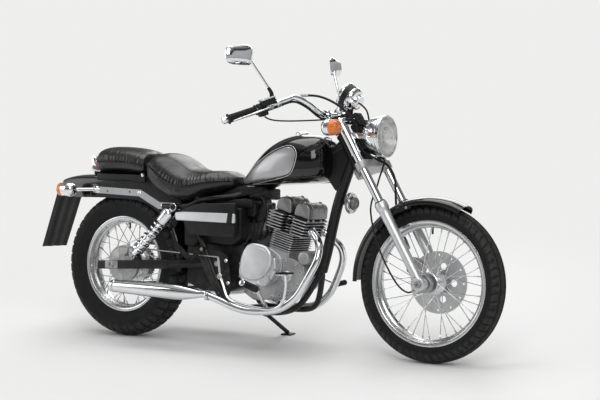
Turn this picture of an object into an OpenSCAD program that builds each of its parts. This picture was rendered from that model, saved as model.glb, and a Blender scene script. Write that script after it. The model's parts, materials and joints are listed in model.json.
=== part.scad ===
// Cruiser motorcycle with spoked wheels and a parallel twin engine, leaning on its side stand.
// Every module draws in the frame of the upright machine: X forward from the rear axle,
// Y to the rider's left, Z up from the line through both tyres' lowest points.
// parked() then leans it to the left and moves the origin under the middle of its box.

/* [Stance] */
// Distance between the axles
wheelbase = 1460; // [1300:1:1650]
// Steering axis back from vertical, in degrees
rake = 30.7; // [26:0.1:34]
// Fork tubes ahead of the steering axis
fork_offset = 60; // [50:1:70]
// Lean to the left on the side stand, in degrees
lean = 7; // [6:0.5:10]

/* [Front wheel] */
// Outer radius of the front tyre
front_tyre_r = 303; // [290:1:315]
// Half width of the front tyre
front_tyre_half = 41; // [38:1:44]
// Outer radius of the front rim's flange
front_rim_r = 241; // [236:1:246]
// Radius of the brake disc
disc_r = 120; // [110:1:130]

/* [Rear wheel] */
// Outer radius of the rear tyre
rear_tyre_r = 308; // [300:1:312]
// Half width of the rear tyre
rear_tyre_half = 64; // [58:1:66]
// Outer radius of the rear rim's flange
rear_rim_r = 205; // [200:1:210]
// Spokes in each wheel
spoke_count = 36; // [28:4:40]

/* [Fork and bars] */
// Fork tubes left and right of the middle
fork_half = 92; // [88:1:98]
// Radius of a fork tube
fork_tube_r = 16.5; // [15:0.5:18]
// Radius of a fork slider
slider_r = 22; // [20:0.5:24]
// Radius of the handlebar
bar_r = 11; // [10:0.5:12.5]
// Radius of a grip
grip_r = 16; // [14:0.5:18]

/* [Engine] */
// Cylinders lean forward, in degrees
cylinder_tilt = 15; // [10:1:20]
// Half width of the cylinder head
head_half = 96; // [88:1:100]
// Fins on the cylinder block
block_fins = 8; // [6:1:9]
// Fins on the cylinder head
head_fins = 6; // [4:1:7]
// Radius of an exhaust header pipe
header_r = 15; // [13:0.5:17]
// Largest radius of a silencer
silencer_r = 33; // [30:1:36]

/* [Frame and body] */
// Radius of the frame's small tubes
frame_tube_r = 12; // [10:0.5:13]
// Half width of the fuel tank
tank_half = 126; // [115:1:135]
// Half width of the rider's seat
seat_half = 155; // [140:1:165]

/* [Hidden] */
$fn = 48;

seat_gap = 0.4;          // between pieces that rest on each other
run_gap = 5;             // between pieces that move past each other
pin_gap = 0.1;           // round a pin or axle
axle_r = 8;
front_axle_half = 116;
rear_axle_half = 128;

// Steering: a frame whose Z is the steering axis and whose XY plane holds the front axle
steer_x = wheelbase - fork_offset * cos(rake);
steer_z = front_tyre_r - fork_offset * sin(rake);
bridge_low = 497;        // heights along the steering axis
bridge_top = 529;
head_low = 536;
head_high = 688;
crown_low = 694;
crown_top = 714;
slider_top = 355;
stem_r = 13;

// Bars: the middle of the clamp, the bend and the end, on the right
bar_clamp = [1010, -62, 940];
bar_bend = [944, -184, 1003];
bar_end = [780, -396, 910];

// Rear end
arm_y = 112;
arm_half_t = 11;
pivot = [548, 0, 338];
shock_y = 136;
shock_top = [338, -shock_y, 562];
shock_low = [126, -shock_y, 352];
silencer_y = 182;

// The tyres' round crowns roll as the machine leans, and lower it by this much
crown_r_front = 42;
crown_r_rear = 72;
sink = (crown_r_front + crown_r_rear) / 2 * (1 - cos(lean));

// Side stand: pivot, foot and the ground under the foot
stand_pivot = [630, 114, 128];
stand_foot_y = 250;
stand_foot_x = 662;
stand_foot_z = stand_foot_y * tan(lean) - sink / cos(lean);
stand_pad_h = 6;
stand_boss_t = 19;
stand_pin_r = 6;

// Where the origin goes: under the middle of the box
tail_x = -436;
mid_z = 1150;
origin_x = (wheelbase + front_tyre_r + tail_x) / 2;
origin_y = mid_z * sin(lean);

// ---- helpers ----

function unit(v) = v / norm(v);

// A point on the smooth curve through p1 and p2
function curve_point(p0, p1, p2, p3, t) =
    0.5 * (2 * p1 + (p2 - p0) * t + (2 * p0 - 5 * p1 + 4 * p2 - p3) * t * t
    + (3 * p1 - p0 - 3 * p2 + p3) * t * t * t);

// The smooth curve through the points, n steps between each two
function smooth(p, n = 4) = concat(
    [for (i = [0:len(p) - 2], k = [0:n - 1])
        curve_point(p[max(i - 1, 0)], p[i], p[i + 1], p[min(i + 2, len(p) - 1)], k / n)],
    [p[len(p) - 1]]);

function tangent(p, i) = unit(p[min(i + 1, len(p) - 1)] - p[max(i - 1, 0)]);
function square_to(u, t) = unit(u - (u * t) * t);
function sideways(p, i, u) = i >= len(p) ? [] :
    let (v = square_to(u, tangent(p, i))) concat([v], sideways(p, i + 1, v));

// Rings of n points round a path, each with its own radius
function rings_along(p, r, n) =
    let (side = sideways(p, 0, abs(tangent(p, 0)[1]) > 0.8 ? [0, 0, 1] : [0, 1, 0]))
    [for (i = [0:len(p) - 1])
        let (t = tangent(p, i), u = side[i], w = cross(t, u), ri = is_list(r) ? r[i] : r)
        [for (j = [0:n - 1]) p[i] + ri * (cos(360 * j / n) * u + sin(360 * j / n) * w)]];

// A closed solid through rings of equal length, which turn left-handed seen from their start
module skin(rings) {
    n = len(rings[0]);
    m = len(rings);
    polyhedron(points = [for (r = rings) each r], convexity = 8, faces = concat(
        [[for (j = [0:n - 1]) j]],
        [for (i = [0:m - 2], j = [0:n - 1])
            [i * n + j, (i + 1) * n + j, (i + 1) * n + (j + 1) % n, i * n + (j + 1) % n]],
        [[for (j = [n - 1:-1:0]) (m - 1) * n + j]]));
}

module pipe(p, r, n = 12) skin(rings_along(p, r, n));

// Children with their Z along a to b and their origin at a
module along(a, b) {
    d = b - a;
    translate(a) rotate([0, acos(d[2] / norm(d)), atan2(d[1], d[0])]) children();
}

module rod(a, b, r) along(a, b) cylinder(r = r, h = norm(b - a));

module both_sides() {
    children();
    mirror([0, 1, 0]) children();
}

// Round about the Y axis at a point of the side view
module about(x, z) translate([x, 0, z]) rotate([-90, 0, 0]) children();

// A flat plate seen from the side: its outline in X and Z, from y0 to y1
module plate(outline, y0, y1) translate([0, y1, 0]) rotate([90, 0, 0])
    linear_extrude(y1 - y0) polygon(outline);

module in_steering() translate([steer_x, 0, steer_z]) rotate([0, -rake, 0]) children();

// From the upright machine to where it stands
module parked() translate([-origin_x, -origin_y, sink]) rotate([-lean, 0, 0]) children();

// ---- wheels ----

// Half a tyre's section: the crown's arc, then the sidewall in to the bead
function tyre_section(r, half, crown, bead_r, bead_half) =
    let (a = asin(min(1, half / crown)), right = concat(
        [for (i = [0:12]) let (t = a * i / 12) [crown * sin(t), r - crown + crown * cos(t)]],
        [[half, r - crown + crown * cos(a) - 10],
         [half - 5, (r - crown + crown * cos(a)) * 0.4 + bead_r * 0.6 + 8],
         [bead_half, bead_r + 15], [bead_half, bead_r]]))
    concat(right, [for (i = [len(right) - 1:-1:1]) [-right[i][0], right[i][1]]]);

module ring_of(section) about(0, 0) rotate_extrude($fn = 120)
    polygon([for (p = section) [p[1], p[0]]]);

module tyre(r, half, crown, bead_r, bead_half)
    ring_of(tyre_section(r, half, crown, bead_r, bead_half));

module rim(flange_r, half) {
    seat = flange_r - 13;
    ring_of([[-half - 4, flange_r], [-half, flange_r], [-half, seat], [half, seat], [half, flange_r],
        [half + 4, flange_r], [half + 4, seat - 4], [half * 0.45, seat - 17],
        [-half * 0.45, seat - 17], [-half - 4, seat - 4]]);
}

spoke_spread = 1.9;      // crossing spokes, either side of the flange's middle
// Spokes from the hub's flanges to the rim, crossing in pairs
module spokes(hub_r, hub_y, rim_r, rim_y) {
    for (i = [0:spoke_count - 1]) {
        side = i % 2 == 0 ? 1 : -1;
        lay = floor(i / 2) % 2 == 0 ? 1 : -1;
        a = 360 * i / spoke_count;
        b = a + lay * 38;
        rod([hub_r * cos(b), side * (hub_y + lay * spoke_spread), hub_r * sin(b)],
            [rim_r * cos(a), side * rim_y, rim_r * sin(a)], 1.8, $fn = 16);
    }
}

module hub(r, y0, y1, flange_r, flange_y, bore_r) {
    difference() {
        union() {
            translate([0, y0, 0]) rotate([-90, 0, 0]) cylinder(r = r, h = y1 - y0);
            for (s = [-1, 1]) translate([0, s * flange_y - 3, 0]) rotate([-90, 0, 0])
                cylinder(r = flange_r, h = 6);
        }
        translate([0, y0 - 1, 0]) rotate([-90, 0, 0]) cylinder(r = bore_r, h = y1 - y0 + 2);
    }
}

front_rim_half = 30;
rear_rim_half = 39;

module front_tyre() color("#1c1c1d") translate([wheelbase, 0, front_tyre_r])
    tyre(front_tyre_r, front_tyre_half, crown_r_front, front_rim_r - 13, front_rim_half);

module front_spoked_rim() color("silver") translate([wheelbase, 0, front_tyre_r]) {
    rim(front_rim_r, front_rim_half);
    hub(27, -44, disc_y - 2 - seat_gap, 44, 33, axle_r + pin_gap);
    spokes(40, 33, front_rim_r - 28, 7);
}

disc_y = 59;
module brake_disc() color("#9a9b9c") translate([wheelbase, disc_y, front_tyre_r]) rotate([-90, 0, 0])
    difference() {
        cylinder(r = disc_r, h = 4, center = true);
        cylinder(r = 20, h = 6, center = true);
        for (i = [0:11]) rotate(i * 30) translate([disc_r - 14, 0, 0])
            cylinder(r = 4, h = 6, center = true);
        for (i = [0:4]) rotate(i * 72) translate([66, 0, 0]) cylinder(r = 13, h = 6, center = true);
    }

module rear_tyre() color("#1c1c1d") translate([0, 0, rear_tyre_r])
    tyre(rear_tyre_r, rear_tyre_half, crown_r_rear, rear_rim_r - 13, rear_rim_half);

sprocket_y = 88;
sprocket_r = 76;
module rear_spoked_rim() color("silver") translate([0, 0, rear_tyre_r]) {
    rim(rear_rim_r, rear_rim_half);
    hub(72, -36, 44, 84, 30, axle_r + pin_gap);
    spokes(81, 30, rear_rim_r - 28, 8);
    difference() {
        union() {
            translate([0, 43, 0]) rotate([-90, 0, 0]) cylinder(r = 34, h = sprocket_y - 43);
            translate([0, sprocket_y - 3, 0]) rotate([-90, 0, 0]) cylinder(r = sprocket_r, h = 6);
        }
        translate([0, 40, 0]) rotate([-90, 0, 0]) cylinder(r = axle_r + pin_gap, h = 60);
    }
}

// ---- frame ----

rail_y = 112;
cradle_y = 100;
neck_low = [steer_x - head_low * sin(rake), 0, steer_z + head_low * cos(rake)];
neck_high = [steer_x - head_high * sin(rake), 0, steer_z + head_high * cos(rake)];
neck_axis = unit(neck_high - neck_low);
down_points = [neck_low + neck_axis * 52, [1044, 0, 600], [1000, 0, 418], [974, 0, 322]];
backbone_r = 19;
backbone = [neck_high - neck_axis * 40, [880, 0, 724], [640, 0, 632]];
rear_tube_top = [398, -rail_y, 560];
rear_tube_low = [576, -rail_y - 6, 216];
strut_t = 6;
fender_half = 77;
horn_x = 1092;
strut_rail_y = fender_half + strut_t + seat_gap + frame_tube_r;

module tab(a, b, r, t) hull() {
    translate([a[0], a[1] - t / 2, a[2]]) rotate([-90, 0, 0]) cylinder(r = r, h = t, $fn = 20);
    translate([b[0], b[1] - t / 2, b[2]]) rotate([-90, 0, 0]) cylinder(r = r, h = t, $fn = 20);
}

function neck_xz(t, back) = let (p = neck_low + (neck_high - neck_low) * t) [p[0] - back, p[2]];

module frame() color("#161617") difference() {
    union() {
        rod(neck_low, neck_high, 25, $fn = 32);
        pipe(smooth(down_points, 2), 21, 12);
        pipe(backbone, backbone_r, 12);
        // gussets behind the neck
        for (s = [-1, 1]) plate([neck_xz(0.1, 4), neck_xz(0.9, 4), [960, 742], [1040, 640]],
            s * 14 - 2, s * 14 + 2);
        both_sides() {
            // seat rail, rear tube and lower cradle
            pipe(smooth([backbone[2], [592, -60, 614], [520, -rail_y + 8, 602], [450, -rail_y + 4, 592],
                [rear_tube_top[0], -rail_y, rear_tube_top[2] + 10], [320, -rail_y + 6, 564],
                [250, -strut_rail_y, 562]], 3), frame_tube_r, 10);
            // stop under the rider's seat
            translate([428, -rail_y, 590]) cube([24, 20, seat_rest_z - seat_gap - 590]);
            pipe(smooth([rear_tube_top, (rear_tube_top + rear_tube_low) / 2, rear_tube_low,
                [622, -cradle_y, 170], [700, -cradle_y, 158], [840, -cradle_y + 6, 158],
                [912, -66, 190], [958, -24, 280], [974, 0, 330]], 3), frame_tube_r, 10);
            // plates that carry the swingarm's pivot
            plate([[478, 396], [560, 388], [596, 372], [604, 300], [606, 212], [570, 212]],
                -rail_y - 4, -rail_y + 4);
            // upper shock mount
            tab([shock_top[0], -rail_y, shock_top[2]], [394, -rail_y, 562], 11, 10);
            rod([shock_top[0], -rail_y, shock_top[2]], [shock_top[0], -shock_y - 12, shock_top[2]], 7);
        }
        // cross tubes
        rod([470, -rail_y, 586], [470, rail_y, 586], 9);
        rod([644, -cradle_y, 162], [644, cradle_y, 162], 9);
        // side stand's bracket
        hull() {
            along(stand_pivot, stand_pivot + stand_axis) translate([0, 0, stand_boss_t / 2 + seat_gap])
                cylinder(r = 15, h = 8, $fn = 32);
            translate([614, cradle_y - 8, 158]) cube([30, 12, 8]);
        }
        // front engine mount and the horn's bracket
        plate([[939.4, 300], [937.6, 336], [980, 346], [972, 316]], -20, 20);
        plate([[1030, 590], [1030, 604], [horn_x, 604], [horn_x, 590]], -6, 6);
    }
    along(neck_low, neck_high) translate([0, 0, -2]) cylinder(r = stem_r + 0.6, h = head_high - head_low + 4);
    about(pivot[0], pivot[2]) translate([0, 0, -150]) cylinder(r = 8.6, h = 300);
    along(stand_pivot, stand_pivot + stand_axis) cylinder(r = stand_pin_r + pin_gap, h = 40);
}

// ---- engine ----

crank = [800, 0, 335];
module in_cylinders() translate(crank) rotate([0, cylinder_tilt, 0]) children();
// A point given along and up the cylinders
function cylinder_point(u, y, w) = crank + [u * cos(cylinder_tilt) + w * sin(cylinder_tilt), y,
    w * cos(cylinder_tilt) - u * sin(cylinder_tilt)];
block_low = 76;
block_high = 150;
head_top = 222;
head_back = -84;
head_front = 102;
case_half = 78;

module crankcase() color("#a8aaac") {
    plate([[640, 296], [652, 376], [700, 404], [780, 398], [880, 372], [936, 350], [939, 300],
        [905, 248], [830, 208], [700, 196], [650, 226]], -case_half, case_half);
    // starter motor across the front
    about(936, 376) translate([0, 0, -86]) cylinder(r = 27, h = 150);
    in_cylinders() translate([-48, -case_half, block_low - 30]) cube([98, 2 * case_half, 30 - seat_gap]);
    // front sprocket on its shaft
    about(drive_x, drive_z) translate([0, 0, case_half - 1])
        cylinder(r = drive_r - seat_gap, h = chain_y1 - case_half + 1);
}

cover_t = 46;
module engine_covers() color("#c9cccd") {
    rocker_covers();
    // clutch cover on the right: a round lid on a wider plate
    translate([0, -case_half - seat_gap, 0]) mirror([0, 1, 0]) {
        plate([[650, 306], [662, 380], [680, 402], [716, 420], [780, 412], [832, 380], [838, 330],
            [812, 280], [770, 258], [700, 258], [664, 274]], 0, cover_t);
        translate([750, cover_t, 356]) rotate([-90, 0, 0]) cylinder(r1 = 80, r2 = 72, h = 24);
    }
    // alternator cover on the left
    translate([0, case_half + seat_gap, 0]) {
        plate([[716, 312], [716, 364], [734, 398], [800, 396], [868, 368], [872, 300], [830, 246],
            [750, 246]], 0, 40);
        translate([795, 40, 322]) rotate([-90, 0, 0]) cylinder(r1 = 68, r2 = 60, h = 20);
        // lid outside the front sprocket, on a rim in front of it
        plate([[704, 278], [704, 390], [712, 390], [712, 278]], 0, 26);
        plate([[620, 286], [612, 340], [640, 388], [712, 388], [712, 278], [660, 266]], 26, 32);
    }
}

rocker_half = 72;
module rocker_covers() in_cylinders() for (x = [-66, 22])
    translate([x, -rocker_half, head_top + seat_gap]) rotate([-90, 0, 0]) linear_extrude(2 * rocker_half)
        polygon([[0, 0], [0, -38], [14, -56], [48, -60], [66, -46], [74, 0]]);

module fin(x0, x1, half, z, t, corner) translate([0, 0, z]) linear_extrude(t)
    polygon([[x0 + corner, -half], [x1 - corner, -half], [x1, -half + corner], [x1, half - corner],
        [x1 - corner, half], [x0 + corner, half], [x0, half - corner], [x0, -half + corner]]);

module cylinder_block() color("#2a2a2b") in_cylinders() {
    fin(-40, 44, 76, block_low, block_high - block_low - seat_gap, 12);
    step = (block_high - block_low) / block_fins;
    for (i = [0:block_fins - 1]) fin(-52, 56, 84, block_low + step * i + 2, 3, 10);
}

// The head: fins, with room at each side for the spark plugs, and two exhaust ports
port_y = 46;
port_w = 176;
module cylinder_head() color("#2a2a2b") in_cylinders() {
    step = (head_top - block_high) / head_fins;
    difference() {
        union() {
            fin(-60, 84, 78, block_high, head_top - block_high, 14);
            for (i = [0:head_fins - 1])
                fin(head_back, head_front, head_half, block_high + step * i + 2, 3.2, 12);
            for (s = [-1, 1]) translate([60, s * port_y, port_w]) rotate([0, 90, 0])
                cylinder(r = header_r + 8, h = 56);
        }
        for (s = [-1, 1]) translate([-6, s * 110 - 46, block_high + 18]) cube([34, 92, 80]);
        for (s = [-1, 1]) translate([100, s * port_y, port_w]) rotate([0, 90, 0])
            cylinder(r = header_r + 0.8, h = 30);
    }
}

module intake() color("#3a3a3c") {
    // air box between the side covers
    plate([[438, 420], [432, 548], [470, 566], [644.4, 566], [644.4, 440], [600, 412]], -98, 98);
    // the throat, the carburettor and its flange on the head
    rod([645, 0, 530], [672, 0, 530], 27);
    translate([672.4, -34, 500]) cube([62, 68, 84]);
    about(703, 496) translate([0, 0, -22]) cylinder(r = 24, h = 44);
    rod(cylinder_point(head_back - 33, 0, 184), cylinder_point(head_back - seat_gap, 0, 184), 24);
}

// ---- exhausts ----

header_path = concat([cylinder_point(117, -port_y, port_w)],
    [[986, -58, 448], [1008, -82, 416], [1008, -102, 368], [978, -118, 300], [930, -130, 222],
    [854, -142, 172], [740, -152, 160], [664, -160, 172], [591, -172, 198],
    [530, -silencer_y, 218]]);
silencer_stations = [[505, 16], [480, 21], [440, 28], [400, 32], [340, 33], [240, 31], [140, 28],
    [60, 25], [56, 23]];

module exhaust() {
    header = concat([cylinder_point(head_front + 2 * seat_gap, -port_y, port_w)], smooth(header_path, 3));
    tail = [for (s = silencer_stations) [s[0], -silencer_y, 216 + (505 - s[0]) * 0.02]];
    radii = concat([for (p = header) header_r],
        [for (s = silencer_stations) s[1] / 33 * silencer_r]);
    pipe(concat(header, tail), radii, 16);
}

module exhausts() color("#d9dadb") both_sides() exhaust();

// ---- tank, seats and covers ----

// Tank stations from the rear: X, half width over the widest, top, bottom
tank_stations = [[598, 0.16, 668, 656], [618, 0.34, 694, 654], [650, 0.52, 726, 654],
    [696, 0.73, 774, 654], [747, 0.87, 817, 658], [807, 0.96, 848, 662], [875, 1, 864, 666],
    [935, 0.99, 864, 670], [976, 0.92, 856, 676], [1000, 0.80, 840, 688], [1014, 0.62, 818, 704],
    [1020, 0.45, 798, 720]];

// A closed ring across the machine: round above, flatter below
function body_ring(x, half, top, low, waist, n) =
    let (mid = low + (top - low) * waist)
    [for (j = [0:n - 1]) let (a = 360 * j / n, c = cos(a), s = sin(a))
        [x, half * sign(c) * pow(abs(c), 0.8),
            s >= 0 ? mid + (top - mid) * pow(s, 0.9) : mid + (mid - low) * -pow(-s, 0.6)]];

module fuel_tank() color("#0c0c0d") difference() {
    skin([for (s = tank_stations) body_ring(s[0], s[1] * tank_half, s[2], s[3], 0.38, 32)]);
    // tunnel for the backbone and the gussets
    plate([[580, 560], for (i = [2:-1:0]) [backbone[i][0], backbone[i][2] + tunnel_rise],
        [1200, 900], [1200, 560]], -backbone_r - 7, backbone_r + 7);
}
// The tunnel's roof rests on the sloping backbone
tunnel_slope = atan2(backbone[0][2] - backbone[1][2], backbone[0][0] - backbone[1][0]);
tunnel_rise = (backbone_r + seat_gap) / cos(tunnel_slope);

cap_x = 872;
cap_z = 863.6;
module fuel_cap() color("silver") translate([cap_x, 0, cap_z + seat_gap]) cylinder(r = 30, h = 12);

// Rider's seat stations from the rear: X, half width over the widest, top, bottom
rider_stations = [[158, 0.62, 756, 680], [186, 0.84, 776, 652], [232, 0.97, 782, 624],
    [290, 1, 758, 598], [350, 1, 724, 586], [410, 0.96, 708, 592], [480, 0.82, 709, 614],
    [545, 0.60, 706, 636], [580, 0.38, 696, 652]];
module rider_seat() color("#141415") difference() {
    skin([for (s = rider_stations) body_ring(s[0], s[1] * seat_half, s[2], s[3], 0.55, 24)]);
    translate([396, -rail_y - 14, 500]) cube([90, 2 * rail_y + 28, seat_rest_z - 500]);
}

pillion_stations = [[-132, 0.55, 784, 716], [-118, 0.78, 800, 694], [-60, 0.96, 809, 682],
    [30, 1, 806, 678], [100, 1, 796, 676], [146, 0.96, 784, 690]];
module pillion_seat() color("#141415") difference() {
    skin([for (s = pillion_stations) body_ring(s[0], s[1] * 112, s[2], s[3], 0.5, 24)]);
    fender_space();
}

// Where the rider's seat rests on the rails
seat_rest_z = 606.4;

cover_in = rail_y + frame_tube_r + 2.4;
cover_out = 156;
module side_covers() color("#0d0d0e") both_sides() {
    plate([[376, 548], [432, 571], [470, 580], [652, 587], [649, 447], [420, 451]],
        -cover_out, -cover_in);
    plate([[366, 506], [360, 545], [660, 541], [660, 504]], -cover_out - 7, -cover_out + 1);
}

// ---- rear fender and what it carries ----

// Fender path: the crown's middle in side view, with the skirt's depth
fender_stations = [[-336, 650, 40], [-325, 672, 76], [-250, 687, 98], [-150, 690, 100],
    [-60, 688, 98], [40, 674, 88], [130, 644, 68], [212, 592, 50], [276, 524, 40], [318, 444, 34],
    [338, 362, 30], [340, 292, 28]];
fender_t = 3;

lip = 0.5;
// A fender's section: skirts of the given depth and an arched crown that rises by rise
function fender_arch(depth, half, rise) = concat([[half, -depth]],
    [for (i = [0:7]) let (a = 180 * i / 7) [half * cos(a), rise * sin(a) - rise]], [[-half, -depth]]);
function reversed(p) = [for (i = [len(p) - 1:-1:0]) p[i]];
function fender_section(depth, half, rise, t) = concat(fender_arch(depth, half, rise),
    [for (q = reversed(fender_arch(depth, half - t, rise))) [q[0], q[1] - (q[1] > -depth ? t : -lip)]]);

// Rings of a section across a path of [x, z, depth] stations
function across(st, i, section) =
    let (p = [st[i][0], st[i][1]], last = len(st) - 1, n = st[min(i + 1, last)], o = st[max(i - 1, 0)],
        d = unit([n[0] - o[0], n[1] - o[1]]), up = [-d[1], d[0]])
    [for (q = section) [p[0] + up[0] * q[1], q[0], p[1] + up[1] * q[1]]];

module fender(st, half, rise, t) skin([for (i = [0:len(st) - 1])
    across(st, i, fender_section(st[i][2], half, rise, t))]);

module rear_fender() color("#0c0c0d") fender(fender_stations, fender_half, 22, fender_t);

// The space that the rear fender fills, for what sits on it
module fender_space() skin([for (i = [0:len(fender_stations) - 1])
    across(fender_stations, i, fender_arch(140, fender_half + seat_gap, 22))]);

// Chrome struts beside the rear fender, with bolt holes for a rack
strut_hole_x = [-60, 60];
strut_hole_z = 618;
strut_hole_r = 4.25;
module fender_struts() color("#d9dadb") both_sides() difference() {
    plate([[-140, 610], [-140, 638], [120, 628], [222, 578], [342, 576], [342, 550],
        [214, 550], [110, 600]], -fender_half - strut_t, -fender_half - seat_gap);
    for (x = strut_hole_x) about(x, strut_hole_z) translate([0, 0, -fender_half - 20])
        cylinder(r = strut_hole_r, h = 40);
}

module tail_light() difference() {
    hull() {
        translate([-185, -46, 684]) cube([6, 92, 88]);
        translate([-144, -40, 684]) cube([10, 80, 82]);
    }
    fender_space();
}

module bullet(length, r) rotate_extrude()
    polygon([[0, 0], [r, 0], [r, length * 0.35], [r * 0.92, length * 0.55], [r * 0.72, length * 0.8],
        [r * 0.4, length], [0, length]]);

module rear_signals() both_sides() {
    translate([-262, -160, 622]) rotate([0, 90, 0]) bullet(86, 31);
    rod([-196, -142, 622], [-126, -fender_half - strut_t - 8, 624], 8);
    rod([-126, -fender_half - strut_t - 16, 624], [-126, -fender_half - strut_t - seat_gap, 624], 9);
}

module rear_lamps() {
    color("#a01818") tail_light();
    color("#e07a20") rear_signals();
}

module plate_bracket() color("#1a1a1b") {
    // a flap that hangs from under the fender's tail
    plate([[-336, 649.8], [-310, 623.8], [-425, 362], [-436, 366]], -84, 84);
}

// ---- swingarm, axle and shocks ----

module swingarm() color("#1a1a1b") {
    chain_guard();
    swinging_arm();
}

module swinging_arm() difference() {
    union() {
        both_sides() {
            plate([[-80, 286], [-80, 322], [300, 342], [300, 304]], -arm_y - arm_half_t,
                -arm_y + arm_half_t);
            hull() {
                translate([299, -arm_y - arm_half_t, 304]) cube([1, 2 * arm_half_t, 38]);
                translate([490, -94, 318]) cube([1, 24, 40]);
            }
            hull() {
                translate([490, -94, 318]) cube([1, 24, 40]);
                about(pivot[0], pivot[2]) translate([0, 0, -94]) cylinder(r = 20, h = 24, $fn = 32);
            }
            plate([[shock_low[0] - 28, 310], [shock_low[0] - 12, shock_low[2] + 13],
                [shock_low[0] + 12, shock_low[2] + 13], [shock_low[0] + 28, 320]],
                -arm_y - arm_half_t, -arm_y + arm_half_t);
        }
        about(pivot[0], pivot[2]) translate([0, 0, -92]) cylinder(r = 18, h = 184);
        translate([400, -92, 320]) cube([26, 184, 30]);
    }
    about(pivot[0], pivot[2]) translate([0, 0, -150]) cylinder(r = 8.6, h = 300);
    about(0, rear_tyre_r) translate([0, 0, -150]) cylinder(r = axle_r + 0.3, h = 300);
    about(shock_low[0], shock_low[2]) translate([0, 0, -150]) cylinder(r = 6.3, h = 300);
}

module rear_axle() color("silver") {
    about(0, rear_tyre_r) translate([0, 0, -rear_axle_half]) cylinder(r = axle_r, h = 2 * rear_axle_half);
    both_sides() about(0, rear_tyre_r) translate([0, 0, -arm_y - arm_half_t - 9 - seat_gap])
        cylinder(r = 15, h = 9, $fn = 6);
    // pivot bolt of the swingarm
    about(pivot[0], pivot[2]) translate([0, 0, -126]) cylinder(r = 8.2, h = 252);
    both_sides() about(pivot[0], pivot[2]) translate([0, 0, -rail_y - 4 - 10 - seat_gap])
        cylinder(r = 14, h = 10, $fn = 6);
}

// Points of a coil spring's wire
function coil(r, pitch, turns, per_turn) = [for (i = [0:turns * per_turn])
    let (a = 360 * i / per_turn) [r * cos(a), r * sin(a), pitch * i / per_turn]];

module shock() along(shock_low, shock_top) {
    length = norm(shock_top - shock_low);
    difference() {
        union() {
            rotate([90, 0, 0]) cylinder(r = 15, h = 20, center = true);
            translate([0, 0, 12]) cylinder(r = 12, h = 30);
            translate([0, 0, 40]) cylinder(r = 17, h = 82);
            translate([0, 0, 34]) cylinder(r = 27, h = 5);
            translate([0, 0, 120]) cylinder(r = 9, h = length - 160);
            translate([0, 0, length - 86]) cylinder(r = 26, h = 62);
            translate([0, 0, length - 30]) cylinder(r = 9, h = 20);
            translate([0, 0, length]) rotate([90, 0, 0]) cylinder(r = 16, h = 20, center = true);
            // pin into the swingarm
            rotate([-90, 0, 0]) cylinder(r = 6, h = shock_y - arm_y + 8);
        }
        translate([0, 0, length]) rotate([90, 0, 0]) cylinder(r = 7 + seat_gap, h = 80, center = true);
    }
    translate([0, 0, 42.5]) pipe(coil(23.5, 24, 7.6, 10), 3.4, 6);
}

module shock_absorbers() color("silver") both_sides() shock();

module brake_panel() color("#b4b6b8") difference() {
    union() {
        about(0, rear_tyre_r) translate([0, 0, -60]) cylinder(r = 80, h = 18);
        about(0, rear_tyre_r) translate([0, 0, -arm_y + arm_half_t + seat_gap]) cylinder(r = 18, h = 50);
        plate([[30, 352], [44, 346], [64, 388], [50, 394]], -82, -59);
    }
    about(0, rear_tyre_r) translate([0, 0, -120]) cylinder(r = axle_r + pin_gap, h = 120);
}

// ---- chain ----

chain_y0 = sprocket_y - 8;
chain_y1 = sprocket_y + 8;
drive_x = 650;
drive_z = 332;
drive_r = 36;
chain_t = 12;
chain_r = sprocket_r + run_gap;

module chain_loop(r_rear, r_front) hull() {
    translate([0, rear_tyre_r]) circle(r = r_rear, $fn = 64);
    translate([drive_x, drive_z]) circle(r = r_front, $fn = 40);
}

module drive_chain() color("#77706a") translate([0, chain_y1, 0]) rotate([90, 0, 0])
    linear_extrude(chain_y1 - chain_y0) difference() {
        chain_loop(chain_r + chain_t, drive_r + chain_t);
        chain_loop(chain_r, drive_r);
    }

module chain_guard() {
    plate([[40, 396], [52, 430], [400, 402], [400, 384], [300, 372]], chain_y1 + 3, chain_y1 + 7);
    plate([[50, 426], [52, 430], [400, 402], [400, 398]], fender_half + 3, chain_y1 + 4);
    plate([[300, 342.4], [300, 390], [330, 384], [330, 345]], chain_y1 + 7, chain_y1 + 12);
}

// ---- feet ----

module foot_pedals() color("silver") {
    // brake pedal: pivot at the frame, down under the footpeg and up to the pad
    pipe(smooth([[577, -138, 289], [598, -148, 262], [642, -176, 212], [700, -188, 192],
        [780, -190, 180], [862, -190, 178], [906, -190, 202], [926, -192, 262], [928, -200, 313.7]], 3),
        6, 10);
    translate([903, -240, 314]) cube([52, 70, 12]);
    rod([577, -rail_y - 4 - seat_gap, 289], [577, -146, 289], 12);
    rod([577, -138, 289], [566, -138, 366], 5);
    rod([566, -138, 366], [57, -85.4, 384], 3);
    // gear pedal
    rod([836, case_half + 60 + 2 * seat_gap, 292], [836, 176, 292], 7);
    rod([836, 170, 292], [944, 172, 262], 5);
    rod([944, 166, 262], [944, 232, 266], 11);
}

module footpegs() color("#222223") both_sides() {
    rod([794, -192, 250], [794, -300, 284], 14);
    rod([794, -cradle_y - frame_tube_r + 2.6, 160], [794, -200, 250], 8);
    rod([484, -rail_y - frame_tube_r - 3.8, 394], [484, -142, 394], 10);
    rod([484, -134, 394], [440, -158, 352], 8);
    rod([440, -156, 352], [364, -170, 417], 12);
}

module horn() color("#8a8c8e") translate([horn_x + seat_gap, 0, 597]) rotate([0, 90, 0]) {
    cylinder(r = 24, h = 34);
    cylinder(r = 42, h = 16);
}

// ---- steering ----

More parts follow.
